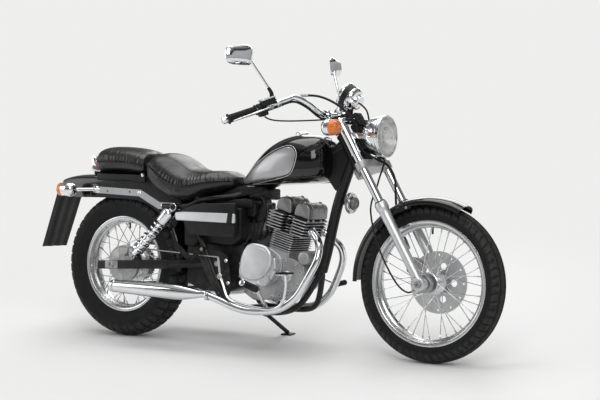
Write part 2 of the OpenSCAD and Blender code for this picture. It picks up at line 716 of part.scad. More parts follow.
module bridge(z0, z1, half, back, front) difference() {
    union() {
        hull() {
            for (s = [-1, 1]) translate([fork_offset, s * fork_half, z0]) cylinder(r = half, h = z1 - z0, $fn = 32);
        }
        hull() {
            translate([0, 0, z0]) cylinder(r = back, h = z1 - z0, $fn = 32);
            translate([front, -50, z0]) cube([4, 100, z1 - z0]);
        }
    }
    for (s = [-1, 1]) translate([fork_offset, s * fork_half, z0 - 1])
        cylinder(r = fork_tube_r + seat_gap / 2, h = z1 - z0 + 2);
}

module fork_yokes() color("#9fa1a3") {
    lower_yoke();
    upper_yoke();
    lamp_ears();
}

module lower_yoke() in_steering() {
    bridge(bridge_low, bridge_top, 25, 28, 56);
    cylinder_z(stem_r, bridge_top - 2, crown_low - seat_gap);
}

module cylinder_z(r, z0, z1) translate([0, 0, z0]) cylinder(r = r, h = z1 - z0);

module upper_yoke() {
    in_steering() bridge(crown_low, crown_top, 24, 30, 56);
    // bar clamps
    both_sides() difference() {
        hull() {
            translate([bar_clamp[0], -58, bar_clamp[2]]) rotate([-90, 0, 0]) cylinder(r = 18, h = 24, $fn = 32);
            in_steering() translate([-6, -58, crown_top - 0.1]) cube([30, 24, 1]);
        }
        translate([bar_clamp[0], -90, bar_clamp[2]]) rotate([-90, 0, 0])
            cylinder(r = bar_r + seat_gap, h = 180);
    }
}

module fork_tubes() color("silver") in_steering() for (s = [-1, 1])
    translate([fork_offset, s * fork_half, slider_top - 70])
        cylinder(r = fork_tube_r, h = crown_top + 6 - slider_top + 70);

module fork_sliders() color("#b9bbbc") in_steering() for (s = [-1, 1])
    difference() {
        union() {
            translate([fork_offset, s * fork_half, 0]) cylinder(r = slider_r, h = slider_top);
            translate([fork_offset, s * fork_half, slider_top - 34]) cylinder(r = slider_r + 3, h = 34);
            translate([fork_offset, s * fork_half - 20, 0]) rotate([-90, 0, 0]) cylinder(r = 24, h = 40);
        }
        translate([fork_offset, s * fork_half, slider_top - 72]) cylinder(r = fork_tube_r + seat_gap / 2, h = 80);
        translate([fork_offset, -150, 0]) rotate([-90, 0, 0]) cylinder(r = axle_r + 0.3, h = 300);
    }

module front_axle() color("silver") about(wheelbase, front_tyre_r) difference() {
    union() {
        translate([0, 0, -front_axle_half - 6]) cylinder(r = axle_r, h = 2 * front_axle_half + 12);
        for (s = [-1, 1]) translate([0, 0, s * (fork_half + slider_r + seat_gap + 4) - 4])
            cylinder(r = 14, h = 8, $fn = 6);
        // speedometer drive beside the hub
        translate([0, 0, -68]) cylinder(r = 34, h = 18);
    }
    translate([0, 0, -160]) cylinder(r = 5, h = 320);
}

ear_low = bridge_top + 26;
ear_high = crown_low - 6;
ear_inner = fork_half - fork_tube_r - 4;
module lamp_ears() both_sides() {
    in_steering() difference() {
        translate([fork_offset, -fork_half, ear_low]) cylinder(r = fork_tube_r + 4, h = ear_high - ear_low);
        translate([fork_offset, -fork_half, ear_low - 1]) cylinder(r = fork_tube_r + seat_gap, h = ear_high - ear_low + 2);
    }
}

lens_x = 1262;
lamp_z = 858;
lamp_r = 82;
module headlight_shell() color("silver") {
    translate([lens_x - 8, 0, lamp_z]) rotate([0, -90, 0])
        rotate_extrude() polygon([[lamp_r - 4, 0], [lamp_r, 0], [lamp_r, 18], [lamp_r - 2, 26],
            [74, 52], [60, 78], [38, 96], [0, 103], [0, 100], [36, 93], [57, 75], [71, 50], [77, 24]]);
    // brackets to the ears
    both_sides() plate([[1122, 846], [1122, 872], [1216, 866], [1216, 850]], -ear_inner + seat_gap,
        -ear_inner + seat_gap + 3);
}

module headlight_lens() color("#e8eef0") translate([lens_x - 8 + seat_gap, 0, lamp_z]) rotate([0, 90, 0])
    rotate_extrude() polygon([[0, 0], [lamp_r, 0], [lamp_r, 3], [60, 8], [30, 12], [0, 13]]);

signal_z = 888;
signal_x = 1140;
module front_signals() color("#e07a20") both_sides() {
    translate([signal_x, -168, signal_z]) rotate([0, -90, 0]) bullet(76, 32);
    rod([1117, -144, signal_z - 6], [1117, -fork_half - fork_tube_r - 4 - seat_gap, signal_z - 6], 7);
}

dial = [1061, 0, 1024];
dial_back = [1119, 0, 992];
module speedometer() color("silver") {
    rod(dial, dial_back, 51);
    rod(dial_back, dial_back + unit(dial_back - dial) * 12, 30);
    // bracket down to the upper yoke
    hull() {
        rod(dial_back - [26, 0, -12], dial_back - [24, 0, -8], 14, $fn = 24);
        in_steering() translate([30, -16, crown_top + seat_gap]) cube([26, 32, 2]);
    }
}

bar_half_path = concat([[bar_clamp[0], 0, bar_clamp[2]]],
    smooth([bar_clamp, [1004, -96, 948], [976, -146, 984], bar_bend,
        bar_bend + (bar_end - bar_bend) * 0.15, bar_end], 3));
module handlebar() color("silver") {
    n = len(bar_half_path);
    right = [for (i = [n - 1:-1:0]) bar_half_path[i]];
    left = [for (i = [1:n - 1]) [bar_half_path[i][0], -bar_half_path[i][1], bar_half_path[i][2]]];
    pipe(concat(right, left), bar_r, 16);
}

module on_bar(distance) along(bar_end, bar_bend) translate([0, 0, distance]) children();

module grips() color("#1d1d1e") both_sides() {
    on_bar(0) difference() {
        union() {
            translate([0, 0, 2]) cylinder(r = grip_r, h = 118);
            translate([0, 0, 2]) cylinder(r = grip_r + 5, h = 5);
            translate([0, 0, 116]) cylinder(r = grip_r + 5, h = 4);
        }
        translate([0, 0, -5]) cylinder(r = bar_r + seat_gap / 2, h = 140);
    }
    on_bar(-24) cylinder(r = 14, h = 24 - seat_gap);
}

module hand_controls() color("#2b2b2c") both_sides() on_bar(124) difference() {
    union() {
        cylinder(r = 20, h = 40);
        translate([-20, -24, 6]) cube([40, 40, 30]);
        translate([0, 0, 42]) cylinder(r = 17, h = 30);
        translate([-14, -34, 44]) cube([28, 34, 26]);
        translate([0, 0, 38]) cylinder(r = 15, h = 6);
    }
    translate([0, 0, -2]) cylinder(r = bar_r + seat_gap, h = 120);
}

mirror_turn = 15;
mirror_mid = [800, 356, 1158];
module mirrors() color("silver") for (side = [-1, 1]) {
    base = bar_end + (bar_bend - bar_end) * 0.66;
    start = [base[0], side * -base[1], base[2] + 20];
    knee = [834, side * 300, 1118];
    back = [mirror_mid[0] + 12, side * mirror_mid[1], mirror_mid[2] - 6];
    pipe(smooth([start, start + [-2, side * 2, 26], knee, knee + [-12, side * 22, 24], back], 3), 5, 10);
    translate([mirror_mid[0], side * mirror_mid[1], mirror_mid[2]]) rotate([0, -4, side * mirror_turn])
        rotate([90, 0, -90]) hull() {
            linear_extrude(3) polygon(mirror_outline(side, 1));
            translate([0, 0, -18]) linear_extrude(3) polygon(mirror_outline(side, 0.6));
        }
}

function mirror_outline(side, k) = [for (p = [[-72, -34], [40, -44], [66, -36], [72, 6], [62, 34],
    [-56, 46], [-70, 38]]) [p[0] * k * -side, p[1] * k]];

// Front fender: an arc round the wheel from its tip in front to its tail behind
front_fender_r = 330;
front_fender_half = 58;
front_fender_from = 64;
front_fender_to = 181;
module front_fender() color("#0c0c0d") translate([wheelbase, 0, front_tyre_r]) {
    fender([for (i = [0:18]) let (a = front_fender_to + (front_fender_from - front_fender_to) * i / 18)
        [front_fender_r * cos(a), front_fender_r * sin(a), 34]], front_fender_half, 24, fender_t);
    // stays to the sliders
    for (s = [-1, 1]) {
        y = [front_fender_half + seat_gap, fork_half - slider_r - seat_gap];
        plate([[-215, 200], [-190, 235], [-150, 262], [-118, 280], [-60, 294], [-60, 284],
            [-120, 262], [-170, 226], [-196, 196]], s > 0 ? y[0] : -y[1], s > 0 ? y[1] : -y[0]);
    }
}

module brake_caliper() color("#6d6f71") difference() {
    union() {
        translate([1340, 48, 330]) rotate([0, 20, 0]) translate([-20, 0, 0]) cube([64, 44, 66]);
    }
    translate([wheelbase, disc_y - 7, front_tyre_r]) rotate([-90, 0, 0]) cylinder(r = disc_r + 6, h = 14);
    in_steering() translate([fork_offset, fork_half, -40]) cylinder(r = slider_r + seat_gap, h = 420);
}

speedo_axis = unit(dial_back - dial);
wiring_front = 58;
module front_cables() color("#151516") {
    // cover over the wiring between the fork tubes, standing on the lower yoke
    in_steering() translate([wiring_front - 24, -40, bridge_top + seat_gap]) cube([24, 80, 138]);
    // throttle and clutch cables: from under the hand controls over the upper yoke to that cover
    both_sides() pipe(smooth([[867.3, -283.2, 937.9], [873, -272, 922], [890, -248, 913], [917, -212, 911],
        [960, -168, 913], [1032, -112, 919], [1058, -84, 926], [1086, -62, 938], [1110, -44, 944],
        [1129, -33, 929], [1140, -30, 900], [1134.5, -27, 877], [1127, -26, 864.4]], 3), 3, 8);
    // brake hose: from the master cylinder over the yokes to the caliper
    pipe(smooth([[950, -150, 1012], [1010, -112, 1010], [1072, -84, 982], [1124, -62, 935],
        [1148, -52, 885], [1158, -54, 835], [1184, -50, 796], [1230, -44, 772], [1262, -6, 748],
        [1270, 34, 706], [1266, 56, 660], [1264, 64, 615], [1262, 80, 562], [1284, 88, 490],
        [1318, 80, 425]], 3), 4.5, 8);
    // speedometer cable: round the left of the lamp, then down the right fork leg
    pipe(concat([dial_back + speedo_axis * (12 + seat_gap)],
        smooth([dial_back + speedo_axis * 20, [1150, 26, 954], [1150, 50, 890],
        [1158, 54, 835], [1184, 50, 796], [1224, 36, 768], [1243, -6, 740], [1250, -44, 700],
        [1246, -62, 655], [1236, -80, 600], [1240, -86, 550], [1262, -88, 470], [1306, -92, 380],
        [1360, -92, 300], [1400, -84, 270], [1422, -64, 277]], 3)), 3.5, 8);
}

// ---- side stand ----

stand_foot = [stand_foot_x, stand_foot_y, stand_foot_z];
module side_stand() color("#1a1a1b") difference() {
    union() {
        rod(stand_pivot, stand_foot + [0, -6, 8], 9, $fn = 40);
        along(stand_pivot, stand_pivot + stand_axis) {
            translate([0, 0, -stand_boss_t / 2]) cylinder(r = 16, h = stand_boss_t);
            cylinder(r = stand_pin_r, h = 24);
        }
        translate(stand_foot) rotate([lean, 0, 0]) translate([-24, -26, 0]) cube([50, 40, stand_pad_h]);
    }
    translate(stand_foot) rotate([lean, 0, 0]) translate([-100, -100, -60]) cube([200, 200, 60]);
}
stand_arm = stand_foot - stand_pivot;
stand_axis = unit(cross(stand_arm, [-1, 0.08, 0]));

// ---- nodes ----

parked() frame();
parked() crankcase();
parked() engine_covers();
parked() cylinder_block();
parked() cylinder_head();
parked() intake();
parked() side_covers();
parked() fuel_tank();
parked() fuel_cap();
parked() rider_seat();
parked() pillion_seat();
parked() rear_fender();
parked() fender_struts();
parked() rear_lamps();
parked() plate_bracket();
parked() swingarm();
parked() rear_axle();
parked() shock_absorbers();
parked() brake_panel();
parked() foot_pedals();
parked() drive_chain();
parked() exhausts();
parked() footpegs();
parked() horn();
parked() fork_yokes();
parked() fork_tubes();
parked() fork_sliders();
parked() front_axle();
parked() headlight_shell();
parked() headlight_lens();
parked() front_signals();
parked() speedometer();
parked() handlebar();
parked() grips();
parked() hand_controls();
parked() mirrors();
parked() front_fender();
parked() brake_caliper();
parked() front_cables();
parked() front_tyre();
parked() front_spoked_rim();
parked() brake_disc();
parked() rear_tyre();
parked() rear_spoked_rim();
parked() side_stand();
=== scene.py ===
"""Looks of a small cruiser motorcycle that leans on its side stand.

Every sub-assembly is a class that works its surfaces out in the frame of the upright machine, in mm:
X forward from the rear axle, Y to the rider's left, Z up. Shape.build() leans them and moves them to the
shared frame, in metres.
"""

from __future__ import annotations

import json
import logging
import math
from dataclasses import dataclass, field
from enum import Enum
from typing import Sequence

import bmesh
import bpy
import numpy as np
from mathutils import Matrix, Vector

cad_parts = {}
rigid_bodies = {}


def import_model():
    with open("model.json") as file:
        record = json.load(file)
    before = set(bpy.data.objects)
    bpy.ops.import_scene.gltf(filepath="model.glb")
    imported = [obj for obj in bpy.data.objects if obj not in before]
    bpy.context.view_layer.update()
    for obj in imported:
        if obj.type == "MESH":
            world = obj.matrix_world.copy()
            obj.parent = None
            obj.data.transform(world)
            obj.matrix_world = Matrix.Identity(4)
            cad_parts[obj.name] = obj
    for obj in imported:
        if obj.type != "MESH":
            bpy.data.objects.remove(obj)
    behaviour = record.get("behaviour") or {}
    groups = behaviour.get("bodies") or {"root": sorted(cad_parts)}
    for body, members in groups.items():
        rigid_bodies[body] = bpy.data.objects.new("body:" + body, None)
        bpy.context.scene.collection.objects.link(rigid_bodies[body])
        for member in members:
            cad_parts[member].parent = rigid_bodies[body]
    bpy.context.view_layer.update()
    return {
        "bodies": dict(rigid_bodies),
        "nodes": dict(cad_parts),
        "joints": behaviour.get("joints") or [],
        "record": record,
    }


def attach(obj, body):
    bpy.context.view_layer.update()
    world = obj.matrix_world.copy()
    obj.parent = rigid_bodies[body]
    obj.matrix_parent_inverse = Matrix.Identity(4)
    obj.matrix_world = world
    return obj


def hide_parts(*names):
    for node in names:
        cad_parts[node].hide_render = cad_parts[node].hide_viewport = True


LOG = logging.getLogger("motorcycle")
Array = np.ndarray
MM = 0.001

# driving sizes of the machine, in mm and degrees
WHEELBASE = 1460.0
RAKE = math.radians(30.7)
FORK_OFFSET = 60.0
LEAN = math.radians(7.0)
FRONT_R, REAR_R = 303.0, 308.0
TAIL_X, MID_Z = -436.0, 1150.0
CROWN_FRONT, CROWN_REAR = 42.0, 72.0
STEER = np.array([WHEELBASE - FORK_OFFSET * math.cos(RAKE), 0.0, FRONT_R - FORK_OFFSET * math.sin(RAKE)])
CRANK = np.array([800.0, 0.0, 335.0])
TILT = math.radians(15.0)
SINK = (CROWN_FRONT + CROWN_REAR) / 2 * (1 - math.cos(LEAN))
ORIGIN = np.array([(WHEELBASE + FRONT_R + TAIL_X) / 2, MID_Z * math.sin(LEAN), -SINK])
RIGHT, LEFT = -1.0, 1.0
SIDES = (RIGHT, LEFT)
UP, ACROSS = (0, 0, 1), (0, 1, 0)
STEER_AHEAD = np.array([math.cos(RAKE), 0.0, math.sin(RAKE)])
STEER_UP = np.array([-math.sin(RAKE), 0.0, math.cos(RAKE)])
CYLINDER_AHEAD = np.array([math.cos(TILT), 0.0, -math.sin(TILT)])
CYLINDER_UP = np.array([math.sin(TILT), 0.0, math.cos(TILT)])
ARM_PIVOT = (548.0, 338.0)
PEDAL_PIVOT = (577.0, 289.0)
STAND_PIVOT = np.array([630, 114, 128.0])
SHOCK_ENDS = ((126.0, 352.0), (338.0, 562.0))
CHAIN_PITCH = 15.875


# ---- places ----

def parked(points: Array) -> Array:
    """Leans points of the upright machine about X and moves them to the shared frame, in metres.

    Args:
        points: places in mm, the last axis being X, Y, Z.

    Returns:
        The same places in metres.
    """
    p = np.asarray(points, float)
    c, s = math.cos(LEAN), math.sin(LEAN)
    turned = np.stack([p[..., 0], p[..., 1] * c + p[..., 2] * s, p[..., 2] * c - p[..., 1] * s], -1)
    return (turned - ORIGIN) * MM


def steering(a: float, y: float, h: float) -> Array:
    """A point ahead of the steering axis by a and up along it by h, from the foot of the axis."""
    return STEER + a * STEER_AHEAD + [0, y, 0] + h * STEER_UP


def engine(u: float, y: float, w: float) -> Array:
    """A point of the cylinders: u ahead of their middle and w up along them from the crank."""
    return CRANK + u * CYLINDER_AHEAD + [0, y, 0] + w * CYLINDER_UP


def placing(x: Sequence[float], y: Sequence[float], z: Sequence[float], at: Sequence[float]) -> Matrix:
    """The turn and move that takes the axes to the directions x, y and z, and the origin to at."""
    m = Matrix.Identity(4)
    for k in range(3):
        m[k] = x[k], y[k], z[k], at[k]
    return m


IN_STEERING = placing(STEER_AHEAD, STEER_UP, ACROSS, STEER)
IN_CYLINDERS = placing(CYLINDER_AHEAD, ACROSS, CYLINDER_UP, CRANK)


def unit(v: Sequence[float]) -> Array:
    """The vector at length 1."""
    v = np.asarray(v, float)
    return v / np.linalg.norm(v)


def run_along(path: Array) -> Array:
    """How far each point is along a path: the sum of the lengths before it."""
    return np.concatenate([[0], np.cumsum(np.linalg.norm(np.diff(path, axis=0), axis=1))])


def curve(points: Sequence[Sequence[float]], per: int = 8) -> Array:
    """The smooth curve through points: each span is the cubic that leaves a point along its neighbours.

    Args:
        points: places on the curve.
        per: steps in each span.

    Returns:
        An array of points.
    """
    p = np.asarray(points, float)
    q = np.vstack([p[:1], p, p[-1:]])
    t = (np.arange(per) / per)[None, :, None]
    a, b, c, d = (q[i:len(q) - 3 + i, None, :] for i in range(4))
    body = 0.5 * (2 * b + (c - a) * t + (2 * a - 5 * b + 4 * c - d) * t ** 2 + (3 * b - a - 3 * c + d) * t ** 3)
    return np.vstack([body.reshape(-1, p.shape[1]), p[-1:]])


def rect(x0: float, z0: float, x1: float, z1: float, radius: float, steps: int = 5) -> Array:
    """A rectangle with rounded corners."""
    return rounded([[x0, z0], [x1, z0], [x1, z1], [x0, z1]], radius, steps)


def rounded(outline: Sequence[Sequence[float]], radius: float, steps: int = 5) -> Array:
    """An outline with each corner turned into a parabola's arc that starts radius before it.

    Args:
        outline: corners of a closed outline.
        radius: length taken off each side at a corner, at most 0.45 of that side.
        steps: points on each corner.

    Returns:
        The rounded outline.
    """
    p = np.asarray(outline, float)
    before, after = np.roll(p, 1, 0) - p, np.roll(p, -1, 0) - p
    la, lb = np.linalg.norm(before, axis=1)[:, None], np.linalg.norm(after, axis=1)[:, None]
    start, end = p + before / la * np.minimum(radius, la * 0.45), p + after / lb * np.minimum(radius, lb * 0.45)
    t = np.linspace(0, 1, steps)[None, :, None]
    arcs = (1 - t) ** 2 * start[:, None] + 2 * t * (1 - t) * p[:, None] + t ** 2 * end[:, None]
    return arcs.reshape(-1, p.shape[1])


def inset(outline: Array, by: float) -> Array:
    """The closed outline moved inwards by `by` along the mean of its sides' normals."""
    d = np.roll(outline, -1, 0) - outline
    d = d / np.maximum(np.linalg.norm(d, axis=1), 1e-9)[:, None]
    n = np.stack([-d[:, 1], d[:, 0]], 1)
    mean = n + np.roll(n, 1, 0)
    mean = mean / np.maximum(np.linalg.norm(mean, axis=1), 0.4)[:, None]
    x, y = outline[:, 0], outline[:, 1]
    turn = np.sign(np.sum(x * np.roll(y, -1) - np.roll(x, -1) * y))
    return outline + mean * by * turn


def on_side(points: Sequence, side: float) -> Array:
    """Points of the right side, put on the given side."""
    return np.array(points, float) * [1, -side, 1]


def sleeve(bore: float, r: float, length: float, edge: float = 0.0) -> list[list[float]]:
    """The closed profile of a sleeve by its bore's radius, outer radius and length, with its edges cut off."""
    outside = [[0, r - edge], [edge, r], [length - edge, r], [length, r - edge]] if edge else [[0, r], [length, r]]
    return [[0, bore], *outside, [length, bore], [0, bore]]


def side_frames(path: Array, hint: Sequence[float] = (0, 1, 0)) -> tuple[Array, Array, Array]:
    """Directions along a path: forward, sideways and across, with the sideways one carried from point to point.

    Args:
        path: points in order.
        hint: the first sideways direction.

    Returns:
        Three arrays of unit vectors.
    """
    t = np.gradient(path, axis=0)
    t = t / np.linalg.norm(t, axis=1)[:, None]
    side = np.empty_like(t)
    v = np.asarray(hint, float)
    if abs(t[0] @ v) > 0.8:
        v = np.array([0.0, 0.0, 1.0])
    for i, forward in enumerate(t):
        v = v - (v @ forward) * forward
        v = v / np.linalg.norm(v)
        side[i] = v
    return t, side, np.cross(t, side)


# ---- shapes ----

class Shape:
    """The surfaces of one piece, gathered patch by patch in mm and made one mesh by build()."""

    def __init__(self) -> None:
        """Starts with no surface."""
        self.points: list[Array] = []
        self.marks: list[Array] = []
        self.faces: list[Sequence[int]] = []
        self.tags: list[int] = []
        self.count = 0

    def grid(self, p: Array, loop_u: bool = False, loop_v: bool = False, tag: int = 0,
            mark: Array | float = 0.0) -> "Shape":
        """Adds the surface through an array of points over two parameters.

        Args:
            p: points by u, v and X Y Z.
            loop_u: whether the last row joins the first.
            loop_v: whether the last column joins the first.
            tag: which of the piece's finishes it takes.
            mark: a value for each point, for the finish to read.

        Returns:
            This shape.
        """
        m, n = p.shape[:2]
        i, j = np.meshgrid(np.arange(m if loop_u else m - 1), np.arange(n if loop_v else n - 1), indexing="ij")
        i2, j2 = (i + 1) % m, (j + 1) % n
        quads = np.stack([i * n + j, i * n + j2, i2 * n + j2, i2 * n + j], -1).reshape(-1, 4) + self.count
        self.points.append(p.reshape(-1, 3))
        self.marks.append(np.broadcast_to(np.asarray(mark, float).reshape(-1), (m * n,)))
        self.faces.extend(quads.tolist())
        self.tags.extend([tag] * len(quads))
        self.count += m * n
        return self

    def tube(self, path: Array, radius: float | Sequence[float], sides: int = 16, tag: int = 0,
            flat: float = 1.0, hint: Sequence[float] = (0, 1, 0)) -> "Shape":
        """Adds a round rod along a path: each ring is its point plus radius times (cos, sin) of the turn.

        Args:
            path: its middle line.
            radius: one radius, or one for each point.
            sides: points round it.
            tag: which finish it takes.
            flat: its thickness across, as a share of its width.
            hint: the sideways direction at its start.

        Returns:
            This shape.
        """
        path = np.asarray(path, float)
        t, side, across = side_frames(path, hint)
        r = np.broadcast_to(np.asarray(radius, float).reshape(-1), (len(path),)).copy()
        edge = np.minimum(r * 0.25, 1.2)
        path = np.vstack([path[:1], path[:1], path, path[-1:], path[-1:]])
        path[2] += t[0] * edge[0]
        path[-3] -= t[-1] * edge[-1]
        r = np.concatenate([[0, r[0] - edge[0]], r, [r[-1] - edge[-1], 0]])
        side, across = (np.vstack([v[:1], v[:1], v, v[-1:], v[-1:]]) for v in (side, across))
        a = np.linspace(0, 2 * np.pi, sides, endpoint=False)[None, :, None]
        ring = np.cos(a) * side[:, None] + flat * np.sin(a) * across[:, None]
        return self.grid(path[:, None] + r[:, None, None] * ring, loop_v=True, tag=tag)

    def lathe(self, base: Sequence[float], axis: Sequence[float], profile: Sequence[Sequence[float]],
            sides: int = 48, tag: int = 0, wave: tuple[int, float] = (0, 0.0)) -> "Shape":
        """Adds a turned form: a profile of heights and radii swept round an axis.

        Args:
            base: where height 0 is.
            axis: the direction of height.
            profile: pairs of height and radius; a radius of 0 closes an end.
            sides: points round it.
            tag: which finish it takes.
            wave: ribs round it and their depth as a share of the radius.

        Returns:
            This shape.
        """
        n = unit(axis)
        u = unit(np.cross(n, [0, 0, 1] if abs(n[2]) < 0.9 else [1, 0, 0]))
        w = np.cross(n, u)
        h, r = np.asarray(profile, float).T
        a = np.linspace(0, 2 * np.pi, sides, endpoint=False)
        swell = 1 + wave[1] * np.cos(wave[0] * a)
        ring = (np.cos(a)[:, None] * u + np.sin(a)[:, None] * w) * swell[:, None]
        points = np.asarray(base, float) + h[:, None, None] * n + r[:, None, None] * ring[None]
        return self.grid(points, loop_v=True, tag=tag)

    def slab(self, outline: Array, y0: float, y1: float, bevel: float = 1.0, tag: int = 0,
            turn: Matrix | None = None) -> "Shape":
        """Adds a plate with rounded edges: an outline in X and Z from y0 to y1.

        Args:
            outline: its closed outline, in X and Z.
            y0: one face.
            y1: the other face.
            bevel: radius of its edges.
            tag: which finish it takes.
            turn: a turn and move of the whole plate.

        Returns:
            This shape.
        """
        outline = np.asarray(outline, float)
        bevel = min(bevel, abs(y1 - y0) * 0.49)
        s = bevel if y1 > y0 else -bevel
        edge = [(bevel * (1 - math.sin(k)), s * (1 - math.cos(k))) for k in np.radians([0, 30, 60, 90])]
        levels = [(by, y0 + h) for by, h in edge] + [(by, y1 - h) for by, h in edge[::-1]]
        rings = np.stack([np.insert(inset(outline, by), 1, h, axis=1) for by, h in levels])
        if turn is not None:
            m = np.array(turn)
            rings = rings @ m[:3, :3].T + m[:3, 3]
        n, k = len(outline), len(rings)
        start = self.count
        self.grid(rings, loop_v=True, tag=tag)
        first, last = tuple(range(start, start + n)), tuple(range(start + (k - 1) * n, start + k * n))
        self.faces.extend([first[::-1], last])
        self.tags.extend([tag, tag])
        return self

    def block(self, centre: Sequence[float], size: Sequence[float], bevel: float = 3.0, tag: int = 0,
            turn: Matrix | None = None) -> "Shape":
        """Adds a box with rounded corners, turned about its centre."""
        x, y, z = (v / 2 for v in size)
        place = Matrix.Translation(tuple(centre)) @ (turn.to_4x4() if turn is not None else Matrix())
        outline = rect(-x, -z, x, z, bevel * 1.4)
        return self.slab(outline, -y, y, bevel, tag, place)

    def bolt(self, place: Sequence[float], axis: Sequence[float], r: float = 6.0, tag: int = 0,
            sides: int = 6) -> "Shape":
        """Adds a hexagonal bolt head with a chamfer, on a washer."""
        self.lathe(place, axis, [[0, 0], [0, r * 1.35], [r * 0.2, r * 1.3], [r * 0.2, 0]], 20, tag)
        return self.lathe(place, axis, [[r * 0.2, 0], [r * 0.2, r], [r * 0.8, r], [r, r * 0.8], [r, 0]], sides, tag)

    def build(self, name: str, finishes: Sequence["Finish"], body: str, nodes: Sequence[str] = (),
            slot: str = "", crease: float = 35.0) -> bpy.types.Object:
        """Args:
            name: the piece's name.
            finishes: its finishes, in the order of its tags.
            body: the CAD body it rides on.
            nodes: CAD nodes it stands for.
            slot: the record's material slot for the piece; not used.
            crease: the angle over which an edge shows as sharp, in degrees.

        Returns:
            The piece.
        """
        mesh = bpy.data.meshes.new(name)
        mesh.from_pydata(parked(np.vstack(self.points)).tolist(), [], self.faces)
        mesh.polygons.foreach_set("material_index", np.asarray(self.tags, np.int32))
        mark = mesh.attributes.new("mark", "FLOAT", "POINT")
        mark.data.foreach_set("value", np.concatenate(self.marks).astype(np.float32))
        for finish in finishes:
            mesh.materials.append(finish.material())
        bm = bmesh.new()
        bm.from_mesh(mesh)
        bmesh.ops.remove_doubles(bm, verts=bm.verts, dist=1e-6)
        bmesh.ops.dissolve_degenerate(bm, edges=bm.edges, dist=1e-7)
        bmesh.ops.recalc_face_normals(bm, faces=bm.faces)
        bm.to_mesh(mesh)
        bm.free()
        mesh.shade_smooth()
        mesh.set_sharp_from_angle(angle=math.radians(crease))
        piece = bpy.data.objects.new(name, mesh)
        bpy.context.scene.collection.objects.link(piece)
        return hand_over(piece, body, nodes)


def hand_over(piece: bpy.types.Object, body: str, nodes: Sequence[str]) -> bpy.types.Object:
    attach(piece, body)
    if nodes:
        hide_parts(*nodes)
    LOG.info("%s: %d faces on %s", piece.name, len(piece.data.polygons), body)
    return piece


# ---- finishes ----

# how fine the noises that every finish shares are, per metre, and the colours of dust and bare metal
CLOUD, DUST, SMEAR = 9.0, 38.0, 24.0
DUST_COLOUR = (0.23, 0.2, 0.17)
BARE_METAL = (0.72, 0.72, 0.73)


class Value:
    """A shader socket that adds, multiplies and blends as a Python number does."""

    def __init__(self, graph: "Graph", socket: bpy.types.NodeSocket) -> None:
        """Wraps one output socket of a graph."""
        self.graph, self.socket = graph, socket

    def _math(self, operation: str, a: "Value | float", b: "Value | float" = 0.0) -> "Value":
        """One Math node of the given operation."""
        return self.graph.node("ShaderNodeMath", {0: a, 1: b}, operation=operation)

    def __add__(self, other: "Value | float") -> "Value":
        """Self plus other."""
        return self._math("ADD", self, other)

    def __sub__(self, other: "Value | float") -> "Value":
        """Self less other."""
        return self._math("SUBTRACT", self, other)

    def __rsub__(self, other: float) -> "Value":
        """Other less self."""
        return self._math("SUBTRACT", other, self)

    def __mul__(self, other: "Value | float") -> "Value":
        """Self times other."""
        return self._math("MULTIPLY", self, other)

    def __pow__(self, other: float) -> "Value":
        """Self to a power."""
        return self._math("POWER", self, other)

    __radd__ = __add__
    __rmul__ = __mul__

    def over(self, low: float, high: float) -> "Value":
        """0 below low, 1 above high, and a smooth step between."""
        return self.graph.node("ShaderNodeMapRange", {0: self, 1: low, 2: high},
            interpolation_type="SMOOTHSTEP")

    def sine(self) -> "Value":
        """The sine of self in radians."""
        return self._math("SINE", self)


